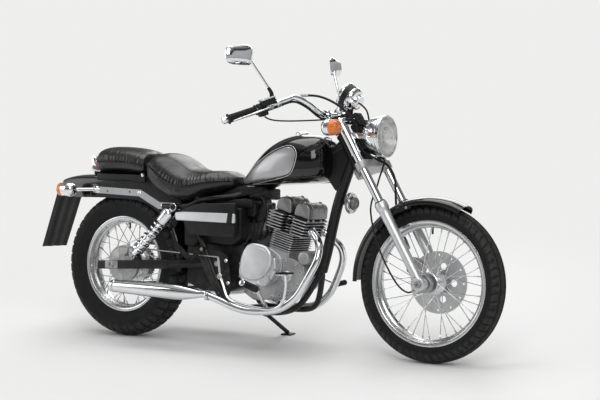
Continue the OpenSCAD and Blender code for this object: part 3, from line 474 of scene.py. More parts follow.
class Graph:
    """The node tree of one material, with its principled shader, or the tree of the world."""

    def __init__(self, name: str, tree: bpy.types.NodeTree | None = None) -> None:
        """Takes the tree it is given, or makes a material and keeps its shader."""
        self.tree = tree
        if tree is None:
            self.material = bpy.data.materials.new(name)
            self.material.use_nodes = True
            self.tree = self.material.node_tree
            self.shader = self.tree.nodes["Principled BSDF"]

    def node(self, kind: str, inputs: dict | None = None, output: int | str | None = 0,
            **settings: object) -> Value | None:
        """Adds a node.

        Args:
            kind: the node's type.
            inputs: its inputs by name or number, as values or numbers.
            output: which output to give back, or None at the tree's end.
            settings: its own settings.

        Returns:
            The chosen output.
        """
        made = self.tree.nodes.new(kind)
        for key, setting in settings.items():
            setattr(made, key, setting)
        for key, item in (inputs or {}).items():
            self.feed(made.inputs[key], item)
        return None if output is None else Value(self, made.outputs[output])

    def feed(self, socket: bpy.types.NodeSocket, item: object) -> None:
        """Links a value to a socket, or sets the socket to a number or colour."""
        if isinstance(item, Value):
            self.tree.links.new(item.socket, socket)
        else:
            socket.default_value = item

    def place(self) -> Value:
        """The surface's place in the shared frame, in metres."""
        return self.node("ShaderNodeTexCoord", output="Object")

    def axis(self, name: str) -> Value:
        """One of the place's X, Y, Z."""
        return self.node("ShaderNodeSeparateXYZ", {0: self.place()}, output=name)

    def mark(self) -> Value:
        """The value that the mesh carries at each point."""
        return self.node("ShaderNodeAttribute", output="Fac", attribute_name="mark")

    def noise(self, scale: float, detail: float = 4.0, stretch: Sequence[float] = (1, 1, 1)) -> Value:
        """Cloudy noise of a scale per metre, drawn out along an axis by a smaller stretch."""
        at = self.node("ShaderNodeMapping", {"Vector": self.place(), "Scale": stretch})
        return self.node("ShaderNodeTexNoise", {"Vector": at, "Scale": scale, "Detail": detail})

    def cells(self, scale: float) -> Value:
        """The distance to the nearest of scattered points, of a scale per metre."""
        return self.node("ShaderNodeTexVoronoi", {"Vector": self.place(), "Scale": scale})

    def blend(self, share: Value | float, a: object, b: object) -> Value:
        """The colour a, turned into b by a share."""
        return self.node("ShaderNodeMix", {0: share, 6: a, 7: b}, output=2, data_type="RGBA")

    def bump(self, height: Value, depth: float) -> None:
        """Raises the shading by a height times depth, in metres."""
        normal = self.node("ShaderNodeBump", {"Height": height, "Strength": 1.0, "Distance": depth})
        self.feed(self.shader.inputs["Normal"], normal)


def rgba(colour: Sequence[float]) -> tuple[float, ...]:
    """A colour with full alpha."""
    return (*colour, 1.0)


@dataclass(frozen=True)
class Finish:
    """A finish: a base colour that drifts, with smudges, dust in the low places and fine relief."""

    name: str
    colour: tuple[float, float, float]
    drift: tuple[float, float, float]
    roughness: float = 0.4
    smudge: float = 0.08
    metallic: float = 0.0
    coat: float = 0.0
    grain: float = 900.0
    relief: float = 0.00002
    dust: float = 0.25
    settings: tuple[tuple[str, float], ...] = ()

    def graph(self) -> Graph:
        """Makes the nodes that all finishes share.

        Returns:
            The graph, ready for more.
        """
        g = Graph(self.name)
        cloud, fine, low = g.noise(CLOUD), g.noise(self.grain, 2.0), g.axis("Z")
        base = g.blend(cloud.over(0.35, 0.7), rgba(self.colour), rgba(self.drift))
        settle = g.noise(DUST, 6.0).over(0.42, 0.72) * (1.0 - low.over(0.02, 0.62)) * self.dust
        base = g.blend(settle, base, rgba(DUST_COLOUR))
        g.feed(g.shader.inputs["Base Color"], base)
        smear = g.noise(SMEAR, 5.0, (1.0, 1.0, 0.45)).over(0.3, 0.8)
        g.feed(g.shader.inputs["Roughness"], smear * self.smudge + settle * 0.5 + self.roughness)
        g.shader.inputs["Metallic"].default_value = self.metallic
        g.shader.inputs["Coat Weight"].default_value = self.coat
        g.shader.inputs["Coat Roughness"].default_value = 0.03
        for key, number in self.settings:
            g.shader.inputs[key].default_value = number
        g.bump(fine, self.relief)
        return g

    def material(self) -> bpy.types.Material:
        """The finish's material, made once."""
        return bpy.data.materials.get(self.name) or self.graph().material


@dataclass(frozen=True)
class FinnedPaint(Finish):
    """Black paint whose fin edges are bare metal: the mark is 1 along an edge."""

    def graph(self) -> Graph:
        """Adds bare aluminium where the mark nears 1 and the paint has rubbed off."""
        g = super().graph()
        bare = (g.mark() + g.noise(120.0, 4.0) * 0.5).over(0.9, 1.15)
        paint = g.shader.inputs["Base Color"].links[0].from_socket
        g.feed(g.shader.inputs["Base Color"], g.blend(bare, Value(g, paint), rgba(BARE_METAL)))
        g.feed(g.shader.inputs["Metallic"], bare)
        return g


@dataclass(frozen=True)
class Vinyl(Finish):
    """Grained vinyl: pebbles from scattered cells over a slow wrinkle."""

    def graph(self) -> Graph:
        """Adds the pebbled grain and soft creases."""
        g = super().graph()
        pebble = g.cells(620.0) * 0.7 + g.noise(1500.0, 2.0) * 0.3
        wrinkle = g.noise(46.0, 3.0, (1.0, 0.5, 1.0))
        g.bump(pebble * 0.35 + wrinkle * 0.65, 0.0006)
        worn = g.noise(14.0, 4.0).over(0.5, 0.75)
        g.feed(g.shader.inputs["Roughness"], pebble * 0.12 + worn * 0.12 + self.roughness)
        return g


@dataclass(frozen=True)
class Tread(Finish):
    """Tyre rubber: the mark is 1 on the worn crown, 0 in a groove and on the wall."""

    def graph(self) -> Graph:
        """Greys the worn crown and darkens the grooves."""
        g = super().graph()
        worn = g.mark() * g.noise(70.0, 5.0).over(0.2, 0.7)
        g.feed(g.shader.inputs["Base Color"], g.blend(worn, rgba(self.colour), rgba(self.drift)))
        return g


@dataclass(frozen=True)
class Brushed(Finish):
    """Metal with fine drawn lines along X."""

    def graph(self) -> Graph:
        """Adds lines of long thin noise to the relief and the roughness."""
        g = super().graph()
        lines = g.noise(900.0, 2.0, (0.04, 1.0, 1.0))
        g.feed(g.shader.inputs["Roughness"], lines * 0.18 + self.roughness)
        g.bump(lines, self.relief)
        return g


@dataclass(frozen=True)
class Fluted(Finish):
    """A lamp's lens: upright flutes pressed in its inner face, with a crossing step."""

    flutes: float = 900.0
    press: float = 0.0012

    def graph(self) -> Graph:
        """Adds a wave across Y and a slower one along Z to the relief."""
        g = super().graph()
        g.bump((g.axis("Y") * self.flutes).sine() * 0.5 + (g.axis("Z") * (self.flutes / 3)).sine() * 0.2, self.press)
        return g


SOFT = (("Specular IOR Level", 0.25),)
GLOSS_BLACK = Finish("gloss black paint", (0.003, 0.003, 0.0035), (0.005, 0.005, 0.006), 0.12, 0.06, coat=0.7,
    grain=60.0, relief=0.00001, dust=0.04, settings=SOFT)
SATIN_BLACK = Finish("satin black frame paint", (0.008, 0.008, 0.009), (0.01, 0.0095, 0.0095), 0.32, 0.12,
    coat=0.1, relief=0.00005, dust=0.12, settings=SOFT)
CHROME = Finish("polished chrome", (0.8, 0.81, 0.83), (0.74, 0.75, 0.77), 0.045, 0.07, 1.0, relief=0.000004, dust=0.1)
DULL_CHROME = Finish("weathered chrome", (0.68, 0.69, 0.7), (0.58, 0.58, 0.59), 0.14, 0.12, 1.0,
    relief=0.000008, dust=0.35)
POLISHED = Finish("polished aluminium", (0.76, 0.77, 0.78), (0.66, 0.67, 0.68), 0.24, 0.14, 1.0, relief=0.00002,
    dust=0.3)
CAST = Finish("cast grey aluminium", (0.5, 0.5, 0.505), (0.38, 0.38, 0.382), 0.42, 0.15, 0.85, grain=700.0,
    relief=0.00025, dust=0.5)
SATIN_ALLOY = Brushed("satin aluminium", (0.72, 0.73, 0.74), (0.64, 0.65, 0.66), 0.36, 0.12, 0.95,
    relief=0.00002, dust=0.25)
GREY_ALLOY = Brushed("satin grey aluminium", (0.28, 0.28, 0.285), (0.22, 0.22, 0.225), 0.34, 0.12, 0.9,
    relief=0.00003, dust=0.3)
DARK_ALLOY = Finish("dark cast alloy", (0.1, 0.1, 0.1), (0.06, 0.06, 0.06), 0.42, 0.15, 0.7, grain=700.0,
    relief=0.0002, dust=0.3)
STEEL = Brushed("zinc plated steel", (0.42, 0.42, 0.43), (0.33, 0.32, 0.31), 0.3, 0.12, 1.0, relief=0.00004, dust=0.4)
DISC_STEEL = Brushed("ground disc steel", (0.7, 0.7, 0.71), (0.6, 0.6, 0.61), 0.32, 0.12, 1.0, relief=0.00003,
    dust=0.2)
CHAIN_STEEL = Finish("oiled chain steel", (0.16, 0.14, 0.12), (0.08, 0.07, 0.06), 0.35, 0.2, 0.9, relief=0.0001,
    dust=0.5)
FIN_PAINT = FinnedPaint("black fins with bare edges", (0.01, 0.01, 0.011), (0.017, 0.016, 0.016), 0.46, 0.15,
    dust=0.3, relief=0.0001, settings=SOFT)
PLASTIC = Finish("black moulded plastic", (0.009, 0.009, 0.0095), (0.015, 0.015, 0.015), 0.4, 0.15,
    grain=1400.0, relief=0.0001, dust=0.2, settings=SOFT)
RUBBER = Finish("black rubber", (0.008, 0.008, 0.008), (0.014, 0.013, 0.013), 0.58, 0.12, relief=0.0001,
    dust=0.2, settings=SOFT)
TYRE = Tread("tyre rubber", (0.007, 0.007, 0.007), (0.036, 0.035, 0.034), 0.66, 0.1, relief=0.0002, dust=0.2,
    settings=SOFT)
VINYL = Vinyl("black grained vinyl", (0.005, 0.005, 0.0055), (0.009, 0.009, 0.0085), 0.27, 0.08, coat=0.1, dust=0.04)
PIPING = Finish("seat piping", (0.008, 0.008, 0.008), (0.014, 0.014, 0.014), 0.4, 0.1, dust=0.1, settings=SOFT)
CLEAR = Fluted("clear fluted glass", (0.97, 0.97, 0.965), (0.94, 0.94, 0.935), 0.04, 0.03, dust=0.0,
    press=0.0005, settings=(("Transmission Weight", 0.9), ("IOR", 1.3)))
REFLECTOR = Finish("lamp reflector", (0.95, 0.95, 0.945), (0.92, 0.92, 0.915), 0.3, 0.02, 0.4, relief=0.000004,
    dust=0.0)
DIAL_GLASS = Finish("dial glass", (0.94, 0.96, 0.97), (0.9, 0.92, 0.94), 0.02, 0.02, dust=0.05,
    settings=(("Transmission Weight", 0.95), ("IOR", 1.45)))
AMBER = Fluted("amber lens", (0.9, 0.24, 0.02), (0.8, 0.18, 0.015), 0.1, 0.05, dust=0.1, coat=0.6,
    flutes=1500.0, settings=(("Transmission Weight", 0.15),))
RED = Fluted("red lens", (0.5, 0.06, 0.06), (0.42, 0.04, 0.04), 0.08, 0.05, dust=0.1, coat=0.8, flutes=1300.0,
    settings=(("Transmission Weight", 0.15),))
MIRROR_GLASS = Finish("mirror glass", (0.86, 0.87, 0.88), (0.84, 0.85, 0.86), 0.01, 0.02, 1.0, relief=0.000001,
    dust=0.0)
DIAL_FACE = Finish("black dial face", (0.01, 0.01, 0.011), (0.014, 0.014, 0.015), 0.5, 0.05, dust=0.0)
WHITE_PAINT = Finish("pale line paint", (0.75, 0.75, 0.76), (0.7, 0.7, 0.71), 0.3, 0.05, coat=0.5, dust=0.0)
PANEL_PAINT = Finish("silver grey panel paint", (0.42, 0.42, 0.43), (0.36, 0.36, 0.37), 0.33, 0.06, 0.75,
    coat=0.8, grain=2500.0, relief=0.00002, dust=0.05)


# ---- wheels ----

@dataclass
class Wheel:
    """A spoked wheel with its tyre, turned round an axle along Y.

    The hub's profile is pairs of height along the axle and radius, and blocks is the tread's count of cuts.
    """

    name: str
    body: str
    centre: tuple[float, float, float]
    outer: float
    half: float
    crown: float
    rim_r: float
    rim_half: float
    blocks: int
    hub_profile: list[list[float]]
    hub_r: float
    hub_y: float
    spoke_end: float
    spoke_y: float
    straight_ribs: bool
    spokes: int = 36
    spoke_lay: float = math.radians(38)
    tread_depth: float = 4.5

    def round(self, section: Array, steps: int) -> Array:
        """Sweeps pairs of (y, radius) round the axle: x = r cos a, z = r sin a."""
        a = np.linspace(0, 2 * np.pi, steps, endpoint=False)
        y, r = section[:, 0], section[:, 1]
        p = np.stack([np.cos(a)[:, None] * r, np.broadcast_to(y, (steps, len(y))), np.sin(a)[:, None] * r], -1)
        return p + np.asarray(self.centre)

    def tread(self, a: Array, s: Array) -> Array:
        """How high the tread stands at an angle a and a place s across the crown, from -1 to 1.

        The front tyre has three straight grooves and short cuts at its shoulders; the rear one has blocks
        that a zigzag middle groove and slanted cuts part.
        """
        def groove(distance: Array, width: float) -> Array:
            """0 inside a groove, 1 outside it."""
            return np.clip((np.abs(distance) - width) / 0.03, 0, 1)
        turn = a * self.blocks / (2 * np.pi)
        wall = np.clip((1.02 - np.abs(s)) / 0.04, 0, 1)
        if self.straight_ribs:
            h = groove(s, 0.045) * groove(np.abs(s) - 0.42, 0.045)
            cut = np.abs((turn + np.sign(s) * 0.25 + np.abs(s) * 0.6) % 1 - 0.5)
            return h * np.maximum(np.clip((cut - 0.1) / 0.06, 0, 1), np.abs(s) < 0.55) * wall
        zigzag = 0.1 * np.abs((turn * 2) % 2 - 1) - 0.05
        h = groove(s - zigzag, 0.035) * groove(np.abs(s) - 0.5 - zigzag * 0.6, 0.035)
        cut = np.abs((turn + 0.5 * (s > 0) + np.abs(s) * 0.45) % 1 - 0.5)
        return h * np.clip((cut - 0.08) / 0.05, 0, 1) * wall

    def tyre(self) -> Shape:
        """The tyre: its crown's arc with the tread cut in it, walls with two raised bands, and the bead."""
        half, steps = self.half, 720
        s = np.linspace(-1, 1, 65)
        turn = s * math.asin(min(1.0, half / self.crown))
        crown = np.stack([self.crown * np.sin(turn), self.outer - self.crown + self.crown * np.cos(turn)], 1)
        edge_r, bead = crown[-1, 1], self.rim_r - 13
        t = np.linspace(0, 1, 16)[1:]
        bulge = (half - 2) * (1 - t) ** 2 + 2 * (half - 1) * t * (1 - t) + (self.rim_half + 2) * t ** 2
        wall_r = edge_r - 8 + (bead + 10 - edge_r + 8) * t
        bulge = bulge + 0.9 * (np.abs(t - 0.3) < 0.05) + 0.9 * (np.abs(t - 0.75) < 0.05)
        wall = np.stack([np.minimum(bulge, half - 0.3), wall_r], 1)
        foot = np.array([[self.rim_half, bead + 4], [self.rim_half - 2, bead + 0.5]])
        right = np.vstack([wall, foot])
        section = np.vstack([right[::-1] * [-1, 1], crown, right])
        p = self.round(section, steps)
        a = np.linspace(0, 2 * np.pi, steps, endpoint=False)[:, None]
        h, depth = np.zeros((2, steps, len(section)))
        top = slice(len(right), len(right) + len(crown))
        h[:, top] = self.tread(a, s[None, :])
        outward = np.stack([np.cos(a[:, 0]), np.zeros(steps), np.sin(a[:, 0])], -1)[:, None]
        depth[:, top] = (1 - h[:, top]) * self.tread_depth * np.cos(s * 1.1)[None, :]
        p = p - outward * depth[..., None]
        return Shape().grid(p, loop_u=True, loop_v=True, mark=h)

    def rim(self, shape: Shape, tag: int) -> None:
        """The rim: rolled flanges, and a deep well between them."""
        f, h = self.rim_r, self.rim_half
        half = [[0, f - 30], [h * 0.3, f - 29.5], [h * 0.45, f - 26], [h * 0.6, f - 20.5], [h * 0.85, f - 18],
            [h, f - 16], [h + 3, f - 12], [h + 3.8, f - 5], [h + 3.2, f - 1], [h + 1.6, f - 0.3],
            [h + 0.3, f - 2], [h - 0.6, f - 8], [h - 1, f - 13.5]]
        right = curve(np.array(half), 3)
        section = np.vstack([right[::-1] * [-1, 1], right[1:]])
        shape.grid(self.round(section, 180), loop_u=True, loop_v=True, tag=tag)

    def spoke(self, shape: Shape, i: int, tag: int) -> None:
        """One spoke: an elbow in the hub's flange, a straight wire and a nipple at the rim."""
        side, lay = (1 if i % 2 == 0 else -1), (1 if (i // 2) % 2 == 0 else -1)
        a = 2 * np.pi * i / self.spokes
        b = a + lay * self.spoke_lay
        at = np.asarray(self.centre)
        start = at + [self.hub_r * math.cos(b), side * (self.hub_y + lay * 1.9), self.hub_r * math.sin(b)]
        end = at + [self.spoke_end * math.cos(a), side * self.spoke_y, self.spoke_end * math.sin(a)]
        d = unit(end - start)
        shape.tube([start, start + d * 8, end], [2.0, 1.7, 1.7], 8, tag)
        shape.tube([end - d * 17, end - d * 14, end - d * 2], [2.4, 3.3, 3.3], 8, tag)
        shape.lathe(start - [0, side * lay * 2.2, 0], [0, side * lay, 0], [[-2.4, 0], [-2.4, 3], [-0.6, 3.4],
            [0, 0]], 10, tag)

    def build(self) -> None:
        """Makes the tyre and the wheel."""
        self.tyre().build(self.name + "_tyre_tread", [TYRE], self.body, [self.name + "_tyre"], "tyre_rubber")
        wheel = Shape()
        self.rim(wheel, 0)
        for i in range(self.spokes):
            self.spoke(wheel, i, 0)
        wheel.lathe(self.centre, ACROSS, self.hub_profile, 72, 1)
        valve = np.asarray(self.centre) + [0, 0, self.rim_r - 31]
        wheel.tube([valve + [0, 0, 4], valve - [0, 0, 24]], 4, 12, 2)
        self.extras(wheel)
        wheel.build(self.name + "_spoked_wheel", [DULL_CHROME, POLISHED, RUBBER, STEEL], self.body,
            [self.name + "_spoked_rim"], "chrome")

    def extras(self, wheel: Shape) -> None:
        """What only one of the wheels has."""


@dataclass
class FrontWheel(Wheel):
    """The front wheel, with the brake disc's bolts."""

    def extras(self, wheel: Shape) -> None:
        """Six bolts through the disc and its carrier."""
        for k in range(6):
            a = k * np.pi / 3
            wheel.bolt(np.asarray(self.centre) + [32 * math.cos(a), 61.2, 32 * math.sin(a)], ACROSS, 5, 3)


@dataclass
class RearWheel(Wheel):
    """The rear wheel, with its sprocket."""

    teeth: int = 41
    sprocket_r: float = 76.0
    sprocket_y: float = 88.0

    def extras(self, wheel: Shape) -> None:
        """The sprocket, whose radius swells and falls once for each tooth, and its six bolts."""
        a = np.linspace(0, 2 * np.pi, self.teeth * 6, endpoint=False)
        r = self.sprocket_r - 3 + 3 * np.cos(a * self.teeth)
        outline = np.stack([np.cos(a) * r, np.sin(a) * r], 1) + [self.centre[0], self.centre[2]]
        wheel.slab(outline, self.sprocket_y - 2.8, self.sprocket_y + 2.8, 0.8, 3)
        for k in range(6):
            b = k * np.pi / 3 + 0.3
            at = np.asarray(self.centre) + [46 * math.cos(b), self.sprocket_y + 2.6, 46 * math.sin(b)]
            wheel.bolt(at, ACROSS, 6, 3)


# ---- tank, fenders and seats ----

def body_rings(stations: Sequence[Sequence[float]], widest: float, waist: float, steps: int = 72,
        per: int = 8) -> Array:
    """Closed rings across the machine through stations of X, share of width, top and bottom.

    A ring is an oval: y goes as cos a to the power 0.8, z as sin a to the power 0.9 above the waist and
    0.6 below it, so that it is round above and flatter below.

    Args:
        stations: from the rear to the front.
        widest: half the width where the share is 1.
        waist: the height of the widest line, as a share of the height.
        steps: points on a ring.
        per: rings between two stations.

    Returns:
        Points by station and turn.
    """
    st = curve(np.asarray(stations, float), per)
    x, w, top, low = (st[:, k:k + 1] for k in range(4))
    a = np.linspace(0, 2 * np.pi, steps, endpoint=False)[None]
    c, s = np.cos(a), np.sin(a)
    mid = low + (top - low) * waist
    y = widest * w * np.sign(c) * np.abs(c) ** 0.8
    z = mid + np.where(s >= 0, (top - mid) * np.abs(s) ** 0.9, -(mid - low) * np.abs(s) ** 0.6)
    return np.stack([np.broadcast_to(x, y.shape), y, z], -1)


def closed_ends(rings: Array) -> Array:
    """Rings with both ends drawn in to a point through two smaller rings."""
    def end(ring: Array, out: Array) -> list[Array]:
        """The end's smaller rings, each nearer its middle."""
        mid = ring.mean(0)
        return [mid + (ring - mid) * k + out * (1 - k * k) for k in (0.85, 0.55, 0.25, 0.0)]
    step = unit(rings[1].mean(0) - rings[0].mean(0)) * 3
    last = unit(rings[-1].mean(0) - rings[-2].mean(0)) * 3
    return np.stack(end(rings[0], -step)[::-1] + list(rings) + end(rings[-1], last))


@dataclass
class Tank:
    """The fuel tank: a long teardrop with a painted panel and a pinstripe at each side, and its cap."""

    half: float = 126.0
    stations: list[list[float]] = field(default_factory=lambda: [[598, 0.16, 668, 656], [618, 0.34, 694, 654],
        [650, 0.52, 726, 654], [696, 0.73, 774, 654], [747, 0.87, 817, 658], [807, 0.96, 848, 662],
        [875, 1, 864, 666], [935, 0.99, 864, 670], [976, 0.92, 856, 676], [1000, 0.80, 840, 688],
        [1014, 0.62, 818, 704], [1020, 0.45, 798, 720]])
    panel: list[list[float]] = field(default_factory=lambda: [[612, 662], [660, 700], [731, 750], [800, 791],
        [864, 813], [898, 806], [914, 779], [905, 737], [882, 708], [820, 691], [765, 681], [690, 669]])
    waist: float = 0.38
    cap: tuple[float, float, float] = (872.0, 0.0, 863.6)

    def side_at(self, xz: Array) -> Array:
        """The half width of the tank at places in side view.

        The oval is solved for y: with v the height above the waist as a share, cos a = sqrt(1 - v^(2/power)).
        """
        st = curve(np.asarray(self.stations, float), 8)
        w, top, low = (np.interp(xz[:, 0], st[:, 0], st[:, k]) for k in (1, 2, 3))
        mid = low + (top - low) * self.waist
        above = xz[:, 1] >= mid
        v = np.where(above, (xz[:, 1] - mid) / (top - mid), (mid - xz[:, 1]) / (mid - low))
        s = np.clip(v, 0, 0.999) ** np.where(above, 1 / 0.9, 1 / 0.6)
        return self.half * w * np.sqrt(1 - s ** 2) ** 0.8

    def outline(self, grow: float) -> Array:
        """The panel's smooth outline in side view, grown outwards by so much."""
        p = np.asarray(self.panel, float)
        loop = curve(np.vstack([p, p[:3]]), 10)[10:-10][:len(p) * 10]
        return inset(loop, -grow)

    def build(self) -> None:
        """Makes the tank, its panels and stripes, and the cap."""
        body = Shape().grid(closed_ends(body_rings(self.stations, self.half, self.waist, steps=96, per=10)),
            loop_v=True)
        seam = curve(np.asarray(self.stations, float), 6)[6:-8]
        for s in SIDES:
            foot = np.stack([seam[:, 0], s * (self.half * seam[:, 1] * 0.93), seam[:, 3] + 5.5], 1)
            body.tube(foot, 2.2, 8, 0)
        body.build("tank_body", [GLOSS_BLACK], "chassis", ["fuel_tank"], "black_gloss", crease=60)
        for s, side in zip(SIDES, ("right", "left")):
            trim = Shape()
            loop = self.outline(0)
            middle = loop.mean(0)
            shares = np.linspace(0, 1, 14)[:, None, None]
            flat = middle + (loop - middle)[None] * shares
            y = self.side_at(flat.reshape(-1, 2)).reshape(flat.shape[:2])
            rise = 0.5 * np.clip((1 - shares[..., 0]) * 30, 0, 1)
            skin = np.stack([flat[..., 0], s * (y + 0.15 + rise), flat[..., 1]], -1)
            back = skin[-1:].copy()
            back[..., 1] -= s * 2
            trim.grid(np.concatenate([skin, back]), loop_v=True)
            for grow, r, tag in ((2.6, 1.3, 2), (5.4, 1.2, 1)):
                line = self.outline(grow)
                path = np.stack([line[:, 0], s * (self.side_at(line) + 0.2), line[:, 1]], 1)
                trim.tube(np.vstack([path, path[:1]]), r, 6, tag)
            trim.build(f"tank_panel_{side}", [PANEL_PAINT, WHITE_PAINT, GLOSS_BLACK], "chassis", (),
                "black_gloss", crease=60)
        cap = Shape().lathe(self.cap, UP, [[0.5, 0], [0.5, 30], [4, 30], [5, 28.5], [7, 28.5], [9.5, 26],
            [11.6, 18], [12.3, 8], [12.4, 0]], 96, 0, (32, 0.006))
        cap.lathe(np.array(self.cap) + [0, 0, 12.2], UP, [[0, 0], [0, 6.5], [0.15, 6], [0.2, 0]], 24, 1)
        cap.build("filler_cap", [CHROME, STEEL], "chassis", ["fuel_cap"], "chrome")


def fender_arch(depth: Array, half: float, rise: float, steps: int = 25) -> Array:
    """A fender's section by station: skirts of a depth under an arch that rises by sin a.

    Args:
        depth: how far the skirts hang at each station.
        half: half the width.
        rise: the arch's height.
        steps: points on the arch.

    Returns:
        Pairs of (across, up) by station and place.
    """
    a = np.linspace(0, np.pi, steps)
    arch = np.stack([half * np.cos(a), rise * np.sin(a) - rise], 1)
    down = np.linspace(1, 0, 6)[:-1]
    n = len(depth)
    lip = np.where(down > 0.9, 0.8, 0.0)
    skirt = np.stack([np.broadcast_to(half + lip, (n, 5)), np.minimum(-depth[:, None] * down, -rise)], -1)
    return np.concatenate([skirt, np.broadcast_to(arch, (n, steps, 2)), (skirt * [-1, 1])[:, ::-1]], 1)


@dataclass
class Fender:
    """A steel fender along a path of X, Z and skirt depth, with a rolled lip."""

    name: str
    body: str
    stations: list[list[float]]
    half: float
    rise: float
    thick: float = 2.6

    def surface(self, shrink: float) -> Array:
        """The fender's surface, moved inwards by shrink."""
        st = curve(np.asarray(self.stations, float), 8)
        xz, depth = st[:, :2], np.maximum(st[:, 2], self.rise + 1)
        d = np.gradient(xz, axis=0)
        d = d / np.linalg.norm(d, axis=1)[:, None]
        up = np.stack([-d[:, 1], d[:, 0]], 1)
        section = fender_arch(depth, self.half - shrink, self.rise)
        lift = section[..., 1:2] - shrink * (section[..., 1:2] > -depth[:, None, None] + 0.1)
        flat = xz[:, None] + up[:, None] * lift
        return np.stack([flat[..., 0], section[..., 0], flat[..., 1]], -1)

    def build(self) -> None:
        """Makes the two faces and joins them along every edge."""
        outer, inner = self.surface(0.0), self.surface(self.thick)
        shell = np.concatenate([outer, inner[:, ::-1]], 1)
        mid = (outer + inner) / 2
        ends = [np.concatenate([m, m[::-1]])[None] for m in (mid[0], mid[-1])]
        p = np.concatenate([ends[0], shell, ends[1]])
        Shape().grid(p, loop_v=True).build(self.name + "_shell", [GLOSS_BLACK], self.body, [self.name],
            "black_gloss")


@dataclass
class Cushion:
    """A stuffed seat: a closed form blown up as cloth, then given its gathered seams and their piping.

    The seam is stations of X, share of the width and share of the height, over the seat's own stations of
    X, share of width, top and bottom.
    """

    name: str
    stations: list[list[float]]
    seam: list[list[float]]
    half: float
    waist: float
    cap: float
    pressure: float = 4.0
    voxel: float = 6.0
    frames: int = 20

    def start(self) -> Shape:
        """The form before it swells: the stations' rings, a little smaller."""
        rings = body_rings(self.stations, self.half - 3.5, self.waist, steps=64)
        return Shape().grid(closed_ends(rings), loop_v=True)

    def swell(self, piece: bpy.types.Object) -> None:
        """Remeshes the piece, blows it up as cloth and applies that with each point's move capped.

        Args:
            piece: the seat, in the shared frame.
        """
        bpy.context.view_layer.objects.active = piece
        remesh = piece.modifiers.new("remesh", "REMESH")
        remesh.mode, remesh.voxel_size = "VOXEL", self.voxel * MM
        bpy.ops.object.modifier_apply(modifier=remesh.name)
        before = read_points(piece, "co")
        cloth = piece.modifiers.new("cloth", "CLOTH")
        cloth.settings.use_pressure = True
        cloth.settings.uniform_pressure_force = self.pressure
        cloth.settings.quality = 5
        cloth.settings.tension_stiffness = cloth.settings.compression_stiffness = 25
        cloth.settings.effector_weights.gravity = 0.0
        cloth.collision_settings.use_collision = False
        cloth.point_cache.frame_end = self.frames
        for frame in range(1, self.frames + 1):
            bpy.context.scene.frame_set(frame)
        bpy.ops.object.modifier_apply(modifier=cloth.name)
        move = read_points(piece, "co") - before
        length = np.linalg.norm(move, axis=1)[:, None]
        move *= np.minimum(1.0, self.cap * MM / np.maximum(length, 1e-9))
        piece.data.vertices.foreach_set("co", (before + move).ravel())
        bpy.context.scene.frame_set(1)
        LOG.info("%s swelled by up to %.1f mm over %d points", self.name, float(length.max()) / MM, len(move))

    def smooth_out(self, piece: bpy.types.Object) -> None:
        """Smooths the piece and adds one subdivision."""
        smooth = piece.modifiers.new("smooth", "SMOOTH")
        smooth.factor, smooth.iterations = 0.5, 4
        divide = piece.modifiers.new("divide", "SUBSURF")
        divide.levels = divide.render_levels = 1
        bpy.context.view_layer.objects.active = piece
        for modifier in (smooth.name, divide.name):
            bpy.ops.object.modifier_apply(modifier=modifier)
        piece.data.shade_smooth()

    def seam_path(self, side: float, lift: float = 0.0) -> Array:
        """The seam along one side, on the seat's oval or a lift outside it.

        Args:
            side: RIGHT or LEFT.
            lift: how far out of the surface it lies.

        Returns:
            Its points, in the frame of the upright machine.
        """
        st = curve(self.stations, 8)
        q = curve(self.seam, 10)
        w, top, low = (np.interp(q[:, 0], st[:, 0], st[:, k]) for k in (1, 2, 3))
        mid = low + (top - low) * self.waist
        z = low + (top - low) * q[:, 2]
        v = np.clip((z - mid) / (top - mid), 0, 0.98)
        y = self.half * w * np.sqrt(1 - v ** (2 / 0.9)) ** 0.8
        return np.stack([q[:, 0], side * (y + lift), z], 1)

    def gather(self, piece: bpy.types.Object) -> None:
        """Presses a groove at the seam and a row of gathers beside it, which fade out from it.

        The gathers are a cosine of the way along the seam, a pitch apart and wandering a little, times the fall
        from the seam. They are longer above it than below it.
        """
        co, normal = read_points(piece, "co"), read_points(piece, "normal")
        n = len(co)
        pitch, deep, high = 0.017, 0.0022, 0.0023
        move = np.zeros(n)
        for s in SIDES:
            path = parked(self.seam_path(s))
            best, where, drop = np.full(n, 9.0), np.zeros(n), np.zeros(n)
            for point, along in zip(path, run_along(path)):
                away = co - point
                d = np.linalg.norm(away, axis=1)
                near = d < best
                best, where, drop = (np.where(near, new, old) for new, old in ((d, best), (along, where),
                    (-away[:, 2], drop)))
            groove = -deep * np.exp(-(best / 0.006) ** 2)
            wave = np.cos(where * 2 * np.pi / pitch + 1.9 * np.sin(where * 31) + 0.9 * np.sin(where * 83))
            fade = np.where(drop > 0, 0.25 * np.exp(-best / 0.012), np.exp(-best / 0.036))
            move += groove + high * wave * fade
        piece.data.vertices.foreach_set("co", (co + normal * move[:, None]).ravel())
        piece.data.update()

    def build(self) -> None:
        """Makes the seat, and its piping of 2.6 mm radius along both seams."""
        piece = self.start().build(self.name + "_cover", [VINYL], "chassis", [self.name], "black_vinyl")
        self.swell(piece)
        self.smooth_out(piece)
        self.gather(piece)
        piping = Shape()
        for s in SIDES:
            piping.tube(self.seam_path(s, -1.5), 2.6, 10)
        piping.build(self.name + "_piping", [PIPING], "chassis", (), "black_vinyl")


def read_points(piece: bpy.types.Object, what: str) -> Array:
    """The places or the normals of a piece's points, one row each."""
    values = np.empty(len(piece.data.vertices) * 3)
    piece.data.vertices.foreach_get(what, values)
    return values.reshape(-1, 3)


# ---- engine and exhausts ----

